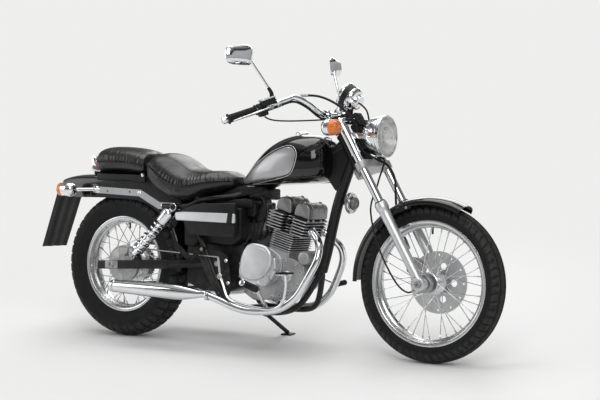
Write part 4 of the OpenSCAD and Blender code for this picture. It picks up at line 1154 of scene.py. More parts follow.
@dataclass
class Engine:
    """The parallel twin: its case, covers, finned block and head, carburettor and side covers.

    The block's and the head's spans are heights along the cylinders from the crank.
    """

    case_half: float = 78.0
    block: tuple[float, float] = (76.0, 150.0)
    head: tuple[float, float] = (150.0, 222.0)
    port_y: float = 46.0
    port_w: float = 176.0
    block_fins: int = 8
    head_fins: int = 6

    def fin(self, shape: Shape, u0: float, u1: float, half: float, w: float, thick: float, tag: int,
            notch: bool = False) -> None:
        """One cooling fin: a rounded plate square to the cylinders, its mark 1 at the outer edge.

        Args:
            shape: where it is added.
            u0: its rear edge.
            u1: its front edge.
            half: half its width.
            w: its lower face.
            thick: its thickness.
            tag: which finish it takes.
            notch: whether its sides are cut away round the spark plugs.
        """
        side = [[u0, -half], [u1, -half], [u1, half], [u0, half]]
        if notch:
            side = [[u0, -half], [-10, -half], [-8, -58], [30, -58], [32, -half], [u1, -half], [u1, half],
                [32, half], [30, 58], [-8, 58], [-10, half], [u0, half]]
        ring = rounded(side, 14, 4)
        core, top = ring.mean(0) + (ring - ring.mean(0)) * 0.55, w + thick
        rim = ((1.6, w), (0.4, w + 0.4), (0, w + thick / 2), (0.4, top - 0.4), (1.6, top))
        loops = [(core, w), *((inset(ring, by), h) for by, h in rim), (core, top)]
        points = [CRANK + q[:, :1] * CYLINDER_AHEAD + q[:, 1:] * ACROSS + h * CYLINDER_UP for q, h in loops]
        marks = np.repeat([0.0, 1, 1, 1, 1, 1, 0], len(ring))
        shape.grid(np.stack(points), loop_u=True, loop_v=True, tag=tag, mark=marks)

    def cylinders(self) -> None:
        """The block and the head with their fins, port flanges, plugs and studs."""
        block = Shape()
        low, high = self.block
        block.slab(rect(-40, low, 44, high - 0.5, 3), -76, 76, 10, 0, IN_CYLINDERS)
        for i in range(self.block_fins):
            w = low + (high - low) / self.block_fins * i + 2
            self.fin(block, -52, 56, half=84, w=w, thick=2.6, tag=0)
        block.build("finned_block", [FIN_PAINT], "chassis", ["cylinder_block"], "black_fins")
        head = Shape()
        low, high = self.head
        head.slab(rect(-60, low, 84, high, 4), -55, 55, 8, 0, IN_CYLINDERS)
        for i in range(self.head_fins):
            w = low + (high - low) / self.head_fins * i + 2
            self.fin(head, -84, 102, half=96, w=w, thick=2.8, tag=0, notch=True)
        for s in SIDES:
            for u0, u1 in ((-60, -14), (36, 84)):
                head.slab(rect(u0, low, u1, high, 4), s * 54, s * 78, 6, 0, IN_CYLINDERS)
            port = [[0, 0], [0, 22], [38, 23], [41, 22], [41, 17], [38, 16], [20, 15.9], [20, 0]]
            head.lathe(engine(60, s * self.port_y, self.port_w), CYLINDER_AHEAD, port, 40, 0)
            plug = [[-4, 0], [-4, 9], [3, 9], [3, 7], [9, 7], [9, 8.5], [26, 8.5], [30, 6], [31, 0]]
            head.lathe(engine(10, s * 58, low + 40), [0, s, 0.25], plug, 24, 1)
            for u in (-70, 92):
                for y in (30, 66):
                    head.bolt(engine(u, s * y, high - 6), CYLINDER_UP, 5.5, 2)
        head.build("finned_head", [FIN_PAINT, RUBBER, STEEL], "chassis", ["cylinder_head"], "black_fins")

    def case(self) -> None:
        """The crankcase with the ribs under it, its starter, drive sprocket and drain plug."""
        case = Shape()
        outline = rounded([[640, 296], [652, 376], [700, 404], [780, 398], [880, 372], [936, 350], [939, 300],
            [905, 248], [830, 208], [700, 196], [650, 226]], 14)
        case.slab(outline, -self.case_half, self.case_half, 5)
        low = self.block[0]
        case.slab(rect(-48, low - 30, 50, low - 0.4, 3), -self.case_half, self.case_half, 4, 0, IN_CYLINDERS)
        case.lathe([936, -86, 376], ACROSS, [[0, 0], [0, 20], [3, 25], [8, 27], [140, 27], [146, 24], [150, 18],
            [150, 0]], 48)
        case.lathe([936, -86, 376], ACROSS, [[12, 26.8], [14, 27.4], [17, 27.4], [19, 26.8]], 48)
        case.lathe([650, self.case_half - 1, 332], ACROSS, [[0, 0], [0, 20], [2, 35], [16, 35], [19, 20],
            [19, 0]], 36)
        for x in range(704, 830, 18):
            case.slab(rect(x, 200, x + 4, 214, 1), -60, 60, 1.5)
        case.bolt([760, 0, 198.5], (0, 0, -1), 9, 1)
        case.build("crankcase_casting", [CAST, STEEL], "chassis", ["crankcase"], "grey_alloy")

    def lid(self, shape: Shape, outline: list[list[float]], side: float, out: float, thick: float,
            dome: tuple[float, float, float, float] | None, bolts: int) -> None:
        """A side cover: a rounded plate with a lip, screws round it and a turned dome on it.

        Args:
            shape: where it is added.
            outline: its outline in side view.
            side: RIGHT or LEFT.
            out: how far out it starts.
            thick: how thick it is.
            dome: the dome's X, Z, radius and height.
            bolts: how many screws.
        """
        ring = rounded(outline, 16)
        shape.slab(ring, side * out, side * (out + 8), 2)
        shape.slab(inset(ring, 3.0), side * (out + 7), side * (out + thick), 9)
        if dome is not None:
            x, z, r, h = dome
            low = out + thick
            profile = [[-12, r * 0.9], [-4, r], [1, r], [h * 0.35, r * 0.985], [h * 0.7, r * 0.95],
                [h * 0.9, r * 0.9], [h, r * 0.84], [h - 1.2, r * 0.8], [h - 1.4, r * 0.6], [h - 0.6, r * 0.3],
                [h - 0.2, 0]]
            shape.lathe([x, side * low, z], (0, side, 0), profile, 96)
            for k in range(3):
                a = k * 2 * np.pi / 3 + 0.5
                shape.bolt([x + r * 0.7 * math.cos(a), side * (low + h - 1.3), z + r * 0.7 * math.sin(a)],
                    (0, side, 0), 3.2, 1, 12)
        path = inset(ring, 7.0)
        path = np.vstack([path, path[:1]])
        run = run_along(path)
        screw = [[0, 0], [0, 5.5], [4.2, 5.2], [4.4, 4.6], [4.4, 2.6], [2.4, 2.4], [2.4, 0]]
        for k in range(bolts):
            x, z = (np.interp(run[-1] * k / bolts, run, path[:, i]) for i in (0, 1))
            shape.lathe([x, side * (out + thick - 4.5), z], (0, side, 0), screw, 16, 1)

    def covers(self) -> None:
        """Clutch, alternator and sprocket covers and the two rocker covers."""
        lids = Shape()
        out = self.case_half + 0.4
        self.lid(lids, [[650, 306], [662, 380], [680, 402], [716, 420], [780, 412], [832, 380], [838, 330],
            [812, 280], [770, 258], [700, 258], [664, 274]], RIGHT, out, thick=46, dome=None, bolts=10)
        dome = np.array([[668, 300], [672, 372], [700, 424], [734, 434], [798, 424], [826, 396], [828, 350],
            [804, 312], [774, 282], [724, 276], [690, 282]]) * 0.965 + [26, 12.4]
        dome = rounded(dome, 26, 9)
        lids.slab(dome, -(out + 40), -(out + 66), 12, 0)
        lids.lathe([776, -(out + 38), 290], (0, -1, 0), [[-8, 34], [0, 34], [8, 33], [15, 30], [17, 24],
            [15.4, 22], [15.4, 10], [18, 9], [18, 0]], 60, 0)
        lids.lathe([862, -(self.case_half + 0.2), 300], (0, -1, 0), [[0, 0], [0, 24], [10, 23], [13, 20],
            [13, 12], [17, 11], [17, 0]], 48, 0)
        for x, z in ((848, 366), (896, 352), (922, 318), (908, 268), (866, 238), (826, 224), (790, 216)):
            lids.lathe([x, -(self.case_half + 0.1), z], (0, -1, 0), [[0, 0], [0, 8], [5, 8], [6, 6], [6, 0]], 20, 0)
            lids.bolt([x, -(self.case_half + 6), z], (0, -1, 0), 4.4, 1)
        lids.slab(rounded(inset(dome, 13), 3, 2), -(out + 64), -(out + 68.4), 2.4, 0)
        self.lid(lids, [[716, 312], [716, 364], [734, 398], [800, 396], [868, 368], [872, 300], [830, 246],
            [750, 246]], LEFT, out, thick=40, dome=(795, 322, 66, 20), bolts=8)
        self.lid(lids, [[620, 286], [612, 340], [640, 388], [712, 388], [712, 278], [660, 266]], LEFT, out + 26,
            thick=6, dome=None, bolts=4)
        top = self.head[1] + 0.4
        for u in (-66, 22):
            cover = rounded([[u, top], [u, top + 38], [u + 14, top + 56], [u + 48, top + 60],
                [u + 66, top + 46], [u + 74, top]], 9)
            lids.slab(cover, -72, 72, 7, 2, IN_CYLINDERS)
            band = rounded([[u + 4, top + 20], [u + 4, top + 39], [u + 16, top + 57.6], [u + 48, top + 61],
                [u + 68, top + 47], [u + 71, top + 20]], 9)
            for y in (-44, 0, 44):
                lids.slab(band, y - 2, y + 2, 1.5, 2, IN_CYLINDERS)
            for y in (-58, 58):
                lids.bolt(engine(u + 31, y, top + 57), CYLINDER_UP, 6, 1)
        lids.build("engine_lids", [SATIN_ALLOY, STEEL, GREY_ALLOY], "chassis", ["engine_covers"],
            "polished_alloy")

    def feed(self) -> None:
        """Air box, throat, carburettor with bowl and cap, manifold, coil blocks, hoses and a breather."""
        intake = Shape()
        box = rounded([[438, 420], [432, 548], [470, 566], [644.4, 566], [644.4, 440], [600, 412]], 12)
        intake.slab(box, -98, 98, 8)
        intake.lathe([645, 0, 530], (1, 0, 0), [[0, 0], [0, 26], [6, 27], [8, 24], [14, 24], [16, 27], [24, 27],
            [27, 26], [27, 0]], 40)
        intake.block([703, 0, 536], [60, 62, 56], 10, 3)
        intake.lathe([703, 0, 560], UP, [[0, 0], [0, 30], [8, 30], [12, 27], [22, 24], [23.5, 16], [23.5, 0]], 40, 3)
        intake.lathe([703, 0, 473], UP, [[0, 0], [0, 18], [3, 22], [26, 23], [30, 26], [36, 26], [36, 0]], 36, 1)
        back = engine(-117, 0, 184)
        intake.lathe(back, CYLINDER_AHEAD, [[0, 0], [0, 22], [3, 24], [12, 24], [14, 22], [20, 22], [22, 24],
            [32, 24], [32.5, 0]], 36, 1)
        intake.block([694, 0, 625], [96, 92, 40], 6)
        for s in SIDES:
            intake.bolt([719, s * 16, 583], UP, 3.2, 2, 12)
            intake.lathe([660, s * 30, 618], (1, 0, 0), [[0, 0], [0, 16], [4, 18], [76, 18], [80, 16], [80, 0]], 24)
            for k, (x, z, r) in enumerate(((668, 452, 6), (690, 446, 5), (716, 462, 5), (742, 470, 4))):
                intake.tube(curve([[x, s * 34, z + 66], [x + 8, s * 58, z + 30],
                    [x - 8, s * (62 - 4 * k), z - 10], [x - 26, s * 60, z - 30]]), r, 14)
            intake.tube(curve([[690, s * 40, 612], [728, s * 62, 606], [742, s * 66, 570], [736, s * 60, 530]]),
                6, 14)
            blocks = ((612, 38, 584, (140, 74, 34), 6, 0), (728, 23, 436, (64, 44, 56), 6, 3 if s == RIGHT
                else 0), (668, 46, 560, (44, 30, 54), 7, 0), (748, 40, 500, (26, 34, 40), 6, 3))
            for x, y, z, size, bevel, tag in blocks:
                intake.block([x, s * y, z], size, bevel, tag)
        intake.build("carburettor_and_air_box", [PLASTIC, CAST, STEEL, DARK_ALLOY], "chassis", ["intake"],
            "black_plastic")

    def side_panels(self) -> None:
        """The covers under the seat, each with a polished rail along its middle."""
        panel = Shape()
        for s in SIDES:
            upper = rounded([[376, 548], [432, 571], [470, 580], [652, 587], [650.5, 510], [649, 447],
                [420, 451], [398, 500]], 10)
            panel.slab(upper, s * 126.5, s * 153, 7, 0)
            rail = rounded([[364, 509], [360, 541], [400, 545], [658, 544], [659, 505]], 8)
            panel.slab(rail, s * 150, s * 162.2, 4.5, 1)
            band = rounded([[618, 505.6], [624, 544.8], [648, 544.4], [646, 505.2]], 2)
            panel.slab(band, s * 155, s * 162.8, 1.5, 3)
            panel.lathe([632, s * 152, 470], (0, s, 0), [[0, 0], [0, 6], [3, 5.6], [4, 4], [3.4, 0]], 24, 3)
        panel.build("side_panels", [PLASTIC, SATIN_ALLOY, CHROME, SATIN_BLACK], "chassis", ["side_covers"],
            "black_plastic")

    def build(self) -> None:
        """Makes the whole engine."""
        self.case()
        self.cylinders()
        self.covers()
        self.feed()
        self.side_panels()


@dataclass
class Exhaust:
    """The exhausts: each a chrome header that runs into a long silencer, with clamps and a rolled tail."""

    silencer_y: float = 182.0
    header_r: float = 15.0
    silencer_x: float = 505.0

    def silencer_z(self, x: Array | float) -> Array | float:
        """The height of the silencer's middle, which rises rearwards by 1 in 50."""
        return 216 + (self.silencer_x - x) * 0.02

    def header_path(self, side: float) -> Array:
        """The header's middle line, from the port to the silencer."""
        p = [engine(102.8, 0, 176), engine(117, 0, 176), [986, 0, 448], [1008, 0, 416], [1008, 0, 368],
            [978, 0, 300], [930, 0, 222], [854, 0, 172], [740, 0, 160], [664, 0, 172], [591, 0, 198], [530, 0, 218]]
        y = [46, 46, 58, 82, 102, 118, 130, 142, 152, 160, 172, self.silencer_y]
        path = np.array([[q[0], side * v, q[2]] for q, v in zip(p, y)])
        return np.vstack([path[:1], curve(path[1:], 10)])

    def build(self) -> None:
        """Makes both of them."""
        pipes = Shape()
        for s in SIDES:
            header = self.header_path(s)
            stations = curve([[self.silencer_x, 16], [492, 19], [480, 21], [440, 28], [400, 32], [340, 33],
                [240, 31], [140, 28], [62, 25], [57, 23]], 5)
            x = stations[:, 0]
            tail = np.stack([x, np.full(len(x), s * self.silencer_y), self.silencer_z(x)], 1)
            radii = np.concatenate([np.full(len(header), self.header_r), stations[:, 1]])
            pipes.tube(np.vstack([header, tail]), radii, 40, 0)
            port = engine(103, s * 46, 176)
            pipes.lathe(port, CYLINDER_AHEAD, [[0, 15], [0, 21], [3, 22], [8, 22], [9, 20], [9, 15]], 36, 1)
            for x, r, drop in ((548, 17.5, 4), (70, 25.6, 0)):
                at = [x, s * self.silencer_y, self.silencer_z(x) - drop]
                pipes.lathe(at, (-1, 0, 0.02), [[-7, r - 3], [-7, r], [-5, r + 1], [5, r + 1], [7, r],
                    [7, r - 3]], 48, 1)
            # the silencer's mouth is closed by a flat satin black disc in a rolled lip: its black is partly soot and
            # partly painted shade of the hollow pipe
            end = np.array([56.6, s * self.silencer_y, 225])
            pipes.lathe(end, (-1, 0, 0), [[0.2, 0], [0.2, 12], [0.2, 19], [1, 21.5], [0.6, 22.4], [-2, 23]], 48, 2)
        pipes.build("exhaust_pipes", [CHROME, DULL_CHROME, SATIN_BLACK], "chassis", ["exhausts"], "chrome")


# ---- frame and running gear ----

@dataclass
class Chassis:
    """The frame with its swingarm, shocks, chain, stand, pedals and footpegs."""

    tube_r: float = 12.0
    shock_y: float = 136.0
    chain_y: float = 88.0
    drive_sprocket: tuple[float, float] = (650.0, 332.0)

    def frame(self) -> None:
        """Neck, backbone, down tube, rails, cradle, plates and the horn's bracket."""
        tubes = Shape()
        low, high = steering(0, 0, 536), steering(0, 0, 688)
        axis = unit(high - low)
        tubes.tube([low, high], 25, 40)
        for at, out in ((low, -axis), (high, axis)):
            tubes.lathe(at - out * 8, out, [[0, 24], [0, 27], [7.5, 27], [8, 26], [8, 24]], 40)
        tubes.tube(curve([low + axis * 52, [1044, 0, 600], [1000, 0, 418], [974, 0, 322]], 10), 21, 28)
        back = [high - axis * 40, np.array([880, 0, 724]), np.array([640, 0, 632])]
        tubes.tube(curve(back, 10), 19, 28)
        for s in (-14, 14):
            tubes.slab(rounded([low[[0, 2]] + axis[[0, 2]] * 15 - [4, 0], high[[0, 2]] - axis[[0, 2]] * 15
                - [4, 0], [960, 742], [1040, 640]], 12), s - 2, s + 2, 1)
        for s in SIDES:
            tubes.tube(curve(on_side([[640, 0, 632], [592, -60, 614], [520, -104, 602], [450, -108, 592],
                [398, -112, 570], [320, -106, 564], [250, -95.4, 562]], s), 8), self.tube_r, 20)
            tubes.tube(curve(on_side([[398, -112, 560], [487, -115, 388], [576, -118, 216], [622, -100, 170],
                [700, -100, 158], [840, -94, 158], [912, -66, 190], [958, -24, 280], [974, 0, 330]], s), 8),
                self.tube_r, 20)
            tubes.slab(rounded([[478, 396], [560, 388], [596, 372], [604, 300], [606, 212], [570, 212]], 8),
                s * 108, s * 116, 1.5)
            ear = rounded([[327, 552], [327, 572], [405, 574], [405, 551]], 9)
            tubes.slab(ear, s * 107, s * 117, 1.5)
            tubes.tube([[338, s * 112, 562], [338, s * (self.shock_y + 12), 562]], 7, 20)
            tubes.lathe([338, s * (self.shock_y + 10.5), 562], (0, s, 0), [[0, 0], [0, 12], [2, 12], [2, 9],
                [4, 8], [4, 0]], 24)
            tubes.block([440, s * 102, 598], [24, 20, 15], 2)
        tubes.tube([[470, -112, 586], [470, 112, 586]], 9, 20)
        tubes.tube([[644, -100, 162], [644, 100, 162]], 9, 20)
        tubes.slab([[939.4, 300], [937.6, 336], [980, 346], [972, 316]], -20, 20, 1)
        tubes.slab([[1030, 590], [1030, 604], [1091.5, 604], [1091.5, 590]], -6, 6, 1)
        axis = self.stand_axis()
        tubes.lathe(STAND_PIVOT + axis * 9.9, axis, sleeve(6.2, 15, 8), 32)
        tubes.slab(rounded([[612, 124], [614, 170], [646, 168], [648, 124]], 6), 92, 100, 1.5)
        tubes.build("frame_tubes", [SATIN_BLACK], "chassis", ["frame"], "black_frame")

    def stand_foot(self) -> Array:
        """The stand's foot on the ground."""
        return np.array([662, 250, 250 * math.tan(LEAN) - SINK / math.cos(LEAN)])

    def stand_axis(self) -> Array:
        """The stand's pivot axis."""
        return unit(np.cross(self.stand_foot() - STAND_PIVOT, [-1, 0.08, 0]))

    def stand(self) -> None:
        """The side stand: boss, leg, lug and a worn foot."""
        shape = Shape()
        pivot, foot, axis = STAND_PIVOT, self.stand_foot(), self.stand_axis()
        shape.lathe(pivot, axis, [[-9.4, 0], [-9.4, 15], [-8.4, 16], [8.4, 16], [9.4, 15], [9.4, 0]], 40)
        end = foot + [0, -6, 8]
        d = unit(end - pivot)
        shape.tube([pivot + d * 10, pivot + d * 30, end - d * 24, end], [9, 8.6, 8.6, 8.8], 24)
        shape.lathe(pivot, axis, [[8, 0], [8, 6], [22, 6], [24, 5], [24, 0]], 20, 1)
        c, s = math.cos(LEAN), math.sin(LEAN)
        place = placing((1, 0, 0), (0, c, s), (0, -s, c), foot)
        plate = rect(-24, 0, 26, 5.8, 2.4)
        shape.slab(plate, -26, 14, 2, 0, place)
        shape.build("side_stand_leg", [SATIN_BLACK, STEEL], "side_stand", ["side_stand"], "black_frame")

    def swingarm(self) -> None:
        """The arms with their boxes, pivot tube and cross brace, and the chain guard."""
        arm = Shape()
        for s in SIDES:
            arm.slab(rounded([[-80, 286], [-80, 322], [300, 342], [300, 304]], 9), s * 101, s * 123, 4)
            path = np.array([[290, s * 112, 323], [360, s * 106, 328], [440, s * 92, 334], [520, s * 83, 338],
                [548, s * 82, 338]])
            arm.tube(curve(path, 8), np.linspace(18, 17, 33), 24, 0, 0.62, UP)
            arm.lathe([ARM_PIVOT[0], s * 70.5, ARM_PIVOT[1]], (0, s, 0), sleeve(8.8, 20, 24, 1), 36)
            arm.slab(rounded([[98, 310], [114, 365], [138, 365], [154, 320]], 7), s * 101.5, s * 122.5, 3)
            arm.block([-79, s * 112, 304], [6, 24, 38], 2, 1)
            arm.tube([[-80, s * 112, 303], [-46, s * 112, 304]], 4, 14, 1)
            arm.bolt([-83, s * 112, 304], (-1, 0, 0), 5, 1)
            arm.slab(rounded([[-34, 292], [-34, 324], [34, 326], [34, 292]], 6), s * 122.4, s * 124.6, 0.8, 1)
        arm.tube([[548, -92, 338], [548, 92, 338]], 18, 32)
        arm.block([413, 0, 335], [24, 184, 28], 6)
        guard = rounded([[40, 396], [52, 430], [400, 402], [400, 384], [300, 372]], 8)
        arm.slab(guard, 99.2, 102.8, 1.2, 2)
        arm.slab([[50, 427], [52, 430], [400, 402], [400, 399]], 80.2, 101, 0.8, 2)
        arm.slab(rounded([[300, 342.6], [300, 390], [330, 384], [330, 345]], 4), 103.2, 107.8, 1, 2)
        arm.build("swinging_arm", [SATIN_BLACK, STEEL, DULL_CHROME], "chassis", ["swingarm"], "black_frame")

    def shocks(self) -> None:
        """Each shock: eyes with rubber bushes, a chrome upper shroud, the coil spring and the damper's body."""
        shock = Shape()
        for s in SIDES:
            low, high = (np.array([x, s * self.shock_y, z]) for x, z in SHOCK_ENDS)
            d, length = unit(high - low), float(np.linalg.norm(high - low))
            across = unit(np.cross(d, [0, 1, 0]))
            shock.lathe(low, d, [[10, 0], [10, 11], [38, 12], [39, 20], [40, 26.5], [42, 27], [44, 25],
                [45, 17], [118, 17], [122, 15], [122, 9], [200, 9], [200, 0]], 44, 0)
            shock.lathe(low, d, [[length - 88, 0], [length - 88, 22], [length - 87, 25.6], [length - 84, 26],
                [length - 34, 26], [length - 28, 24], [length - 23, 18], [length - 20, 11], [length - 12, 10],
                [length - 12, 0]], 60, 0)
            for k in range(3):
                h = length - 76 + 13 * k
                shock.lathe(low, d, [[h, 25.6], [h + 1.5, 26.4], [h + 4.5, 26.4], [h + 6, 25.6]], 60, 0)
            a = np.linspace(0, 2 * np.pi * 7.6, 440)
            r, height = 22.6, 42.5 + 24 * a / (2 * np.pi)
            spring = low + d * height[:, None] + r * (np.cos(a)[:, None] * across + np.sin(a)[:, None]
                * np.cross(d, across))
            shock.tube(spring, 4.0, 12, 0, 1.0, d)
            for eye, r_out in ((low, 15), (high, 16)):
                shock.lathe(eye - [0, 10, 0], ACROSS, sleeve(9, r_out, 20, 1), 36, 0)
                shock.lathe(eye - [0, 10.4, 0], ACROSS, sleeve(7.6, 11, 20.8), 30, 1)
            shock.tube([low - [0, s * 28, 0], low + [0, s * 12, 0]], 6, 18, 2)
            shock.bolt(low + [0, s * 11, 0], (0, s, 0), 7, 2)
        shock.build("rear_shocks", [CHROME, RUBBER, STEEL], "chassis", ["shock_absorbers"], "chrome")

    def drum(self) -> None:
        """The rear brake's panel: a ribbed dome with its cam lever, and the spacer to the arm."""
        panel = Shape()
        at = np.array([0.0, -42.4, REAR_R])
        panel.lathe(at, (0, -1, 0), [[0, 8.3], [0, 80], [3, 80], [5, 76], [12, 70], [15, 50], [17, 34],
            [17.4, 20], [17.4, 8.3], [0, 8.3]], 80)
        for k in range(8):
            a = k * np.pi / 4 + 0.2
            c, s = math.cos(a), math.sin(a)
            p = np.array([[26 * c, -58.6, 26 * s], [68 * c, -54.5, 68 * s]]) + [0, 0, REAR_R]
            panel.tube(p, [3.2, 2.2], 10)
        panel.lathe([0, -51, REAR_R], (0, -1, 0), sleeve(8.3, 18, 49), 32)
        panel.slab(rounded([[30, 352], [44, 346], [64, 388], [50, 394]], 6), -76, -82, 1.5, 1)
        panel.tube([[37, -59, 350], [37, -84, 350]], 6, 16, 1)
        panel.bolt([37, -83, 350], (0, -1, 0), 5, 1)
        panel.build("rear_brake_panel", [CAST, STEEL], "chassis", ["brake_panel"], "grey_alloy")

    def axle(self) -> None:
        """The rear axle and the pivot bolt with their nuts and washers."""
        axle = Shape()
        for x, z, half, r, out in ((0, REAR_R, 128, 8, 123.4), (*ARM_PIVOT, 126, 8.2, 116.4)):
            axle.tube([[x, -half, z], [x, half, z]], r, 24)
            for s in SIDES:
                axle.lathe([x, s * out, z], (0, s, 0), sleeve(8.1, 14.6, 1.6), 30)
                axle.lathe([x, s * (out + 1.6), z], (0, s, 0), [[0, 8.1], [0, 12.4], [6.4, 12.4], [7.6, 10.8],
                    [7.6, 8.1], [0, 8.1]], 6)
        axle.build("rear_axle_and_pivot", [STEEL], "chassis", ["rear_axle"], "steel")

    def chain(self) -> None:
        """The drive chain: link plates and rollers spaced evenly round the two sprockets' common belt line.

        The line is an arc round each sprocket, from one common tangent to the other, and the two tangents. A
        link's plate is two half circles of 4.6 mm round its pins.
        """
        r0, r1, z0 = 87.0, 42.0, REAR_R
        x1, z1 = self.drive_sprocket
        gap = math.hypot(x1, z1 - z0)
        tilt = math.atan2(z1 - z0, x1)
        wrap = math.acos((r0 - r1) / gap)
        rear = np.linspace(tilt + wrap, tilt + 2 * np.pi - wrap, 90)
        front = np.linspace(tilt - wrap, tilt + wrap, 40)
        loop = np.vstack([np.stack([r0 * np.cos(rear), z0 + r0 * np.sin(rear)], 1),
            np.stack([x1 + r1 * np.cos(front), z1 + r1 * np.sin(front)], 1)])
        loop = np.vstack([loop, loop[:1]])
        run = run_along(loop)
        links = 2 * round(run[-1] / CHAIN_PITCH / 2)
        t = np.arange(links) * run[-1] / links
        pins = np.stack([np.interp(t, run, loop[:, k]) for k in (0, 1)], 1)
        chain = Shape()
        arc = np.linspace(-np.pi / 2, np.pi / 2, 6)
        for k in range(links):
            a, b = pins[k], pins[(k + 1) % links]
            d = unit(b - a)
            n = np.array([-d[1], d[0]])
            half = 4.6 * (np.cos(arc)[:, None] * d + np.sin(arc)[:, None] * n)
            outline = np.concatenate([b + half, a - half])
            y = 6.4 if k % 2 else 4.4
            for s in SIDES:
                chain.slab(outline, self.chain_y + s * y, self.chain_y + s * (y + 1.4), 0.4)
            chain.lathe([a[0], self.chain_y - 7.6, a[1]], ACROSS, [[0, 0], [0, 2.2], [3.6, 2.2], [3.6, 4.2],
                [11.6, 4.2], [11.6, 2.2], [15.2, 2.2], [15.2, 0]], 10)
        chain.build("drive_chain_links", [CHAIN_STEEL], "chassis", ["drive_chain"], "chain_steel")

    def feet(self) -> None:
        """The brake pedal with its pad and rod, the gear pedal, and the four footpegs."""
        pedal = Shape()
        x, z = PEDAL_PIVOT
        pedal.tube(curve([[x, -138, z], [598, -148, 262], [642, -176, 212], [700, -188, 192], [780, -190, 180],
            [862, -190, 178], [906, -190, 202], [926, -192, 262], [928, -200, 313.7]], 8), 6, 16)
        pedal.block([929, -205, 317], [50, 68, 5], 2)
        for k in range(5):
            pedal.block([909 + 10 * k, -205, 322.4], [5, 64, 6.4], 2, 1)
        pedal.lathe([x, -116.6, z], (0, -1, 0), [[0, 0], [0, 12], [29, 12], [30, 11], [30, 0]], 30)
        pedal.bolt([x, -146, z], (0, -1, 0), 6, 2)
        pedal.tube([[x, -138, z], [x - 11, -138, z + 77]], 5, 14)
        pedal.tube([[x - 11, -138, z + 77], [57, -85.4, 384]], 3, 12, 2)
        pedal.tube([[92, -89, 382.8], [66, -86.4, 383.7]], 4.6, 6, 2)
        pedal.tube([[836, 139, 292], [836, 176, 292]], 7, 20)
        pedal.tube(curve([[836, 171, 292], [870, 171, 283], [910, 171.6, 270], [944, 172, 262]], 6), 5, 14)
        grip = curve([[944, 167, 262], [944, 231, 266]], 40)
        ribs = 10.3 + 0.7 * np.sign(np.sin(np.linspace(0, 22 * np.pi, len(grip))))
        pedal.tube(grip, ribs, 24, 1)
        pedal.build("foot_controls", [CHROME, RUBBER, STEEL], "chassis", ["foot_pedals"], "chrome")
        pegs = Shape()
        for s in SIDES:
            for a, b, r, turns in (([794, 194, 250.6], [794, 299, 283.7], 13.3, 17),
                    ([438, 157, 354], [365, 169.8, 416], 11.4, 13)):
                path = curve([np.array(a) * [1, s, 1], np.array(b) * [1, s, 1]], 120)
                wave = np.sign(np.sin(np.linspace(0, 2 * np.pi * turns, len(path))))
                wave[:4] = wave[-4:] = 1
                pegs.tube(path, r + 0.6 * wave, 28, 0)
            pegs.tube([[794, s * 109.6, 160], [794, s * 200, 250]], 8, 20, 3)
            pegs.block([794, s * 196, 248], [26, 14, 26], 4, 3)
            pegs.lathe([794, s * 299, 283.7], unit([0, s * 105, 33.1]), [[-1, 0], [-1, 13.2], [2, 13], [4, 10],
                [4.6, 0]], 30, 3)
            pegs.tube([[484, s * 120.4, 394], [484, s * 142, 394]], 10, 24, 1)
            pegs.tube([[484, s * 134, 394], [440, s * 158, 352]], 8, 20, 1)
            pegs.bolt([484, s * 141, 394], (0, s, 0), 6, 2)
        pegs.build("rubber_footpegs", [RUBBER, SATIN_BLACK, STEEL, DULL_CHROME], "chassis", ["footpegs"],
            "black_rubber")

    def horn(self) -> None:
        """The horn: a pressed dish with a chrome rim and a grille that spirals outwards."""
        horn = Shape()
        at = [1092.4, 0, 597]
        horn.lathe(at, (1, 0, 0), [[0, 0], [0, 36], [1, 40], [3, 42], [13, 42], [16, 40], [16, 37], [13, 34],
            [14, 24], [30, 23.5], [33, 21], [34, 17], [31, 12], [32.5, 7], [33, 0]], 60)
        horn.lathe(at, (1, 0, 0), [[8, 41.6], [10, 42], [13, 42], [15, 41.6]], 60, 1)
        turn = np.linspace(0, 2 * np.pi * 3.5, 160)
        r = 26 + 10 * turn / turn[-1]
        spiral = np.stack([np.full_like(turn, 15.4), r * np.cos(turn), r * np.sin(turn)], 1)
        horn.tube(spiral + at, 1.5, 8, 1)
        horn.lathe(at, (1, 0, 0), [[12, 37], [12, 42], [15, 42], [16.6, 40.6], [16.6, 37], [12, 37]], 60, 1)
        horn.build("horn_dish", [GREY_ALLOY, CHROME], "chassis", ["horn"], "steel")

    def tray(self) -> None:
        """The battery box, the trays under the seats, the fender's skirts and rails, and the pivot's plates."""
        tray = Shape()
        box = rounded([[352, 404], [348, 556], [436, 556], [428, 420], [400, 400]], 12)
        tray.slab(box, -84, 84, 8)
        for z in (440, 480, 520):
            tray.block([392, 0, z], [70, 171, 6], 2)
        tray.slab(rounded([[300, 562], [440, 556], [440, 580], [330, 578]], 6), -84, 84, 5)
        inner = rounded([[350, 250], [348, 404], [400, 418], [600, 414], [636, 432], [636, 300], [606, 236],
            [540, 216], [420, 220]], 14)
        tray.slab(rounded([[500, 604], [500, 618], [545, 633], [596, 652], [716, 655], [716, 634], [600, 606]],
            5), -50, 50, 4)
        tray.slab(inner, -58, 58, 8)
        for s in SIDES:
            skirt = [[158, 684], [186, 656], [232, 628], [290, 603], [330, 590], [345, 560], [300, 470],
                [258, 514], [196, 576], [124, 622], [36, 652], [-60, 664], [-122, 664], [-122, 694], [30, 693],
                [140, 688]]
            tray.slab(rounded(skirt, 5), s * 78.4, s * 81.8, 1)
            tray.slab(rounded([[-112, 668], [-112, 695], [150, 691], [150, 660], [60, 668]], 8), s * 84, s * 97, 4)
            tray.slab(rounded([[128, 664], [128, 700], [152, 698], [152, 664]], 5), s * 96, s * 99, 1)
            tray.lathe([140, s * 98.6, 690], (0, s, 0), [[0, 0], [0, 7.5], [1.6, 7], [3.2, 4.6], [3.8, 0]], 28, 1)
            plate = rounded([[444, 392], [470, 398], [560, 390], [598, 374], [610, 300], [622, 250], [606, 206],
                [548, 206], [512, 262], [470, 330]], 14)
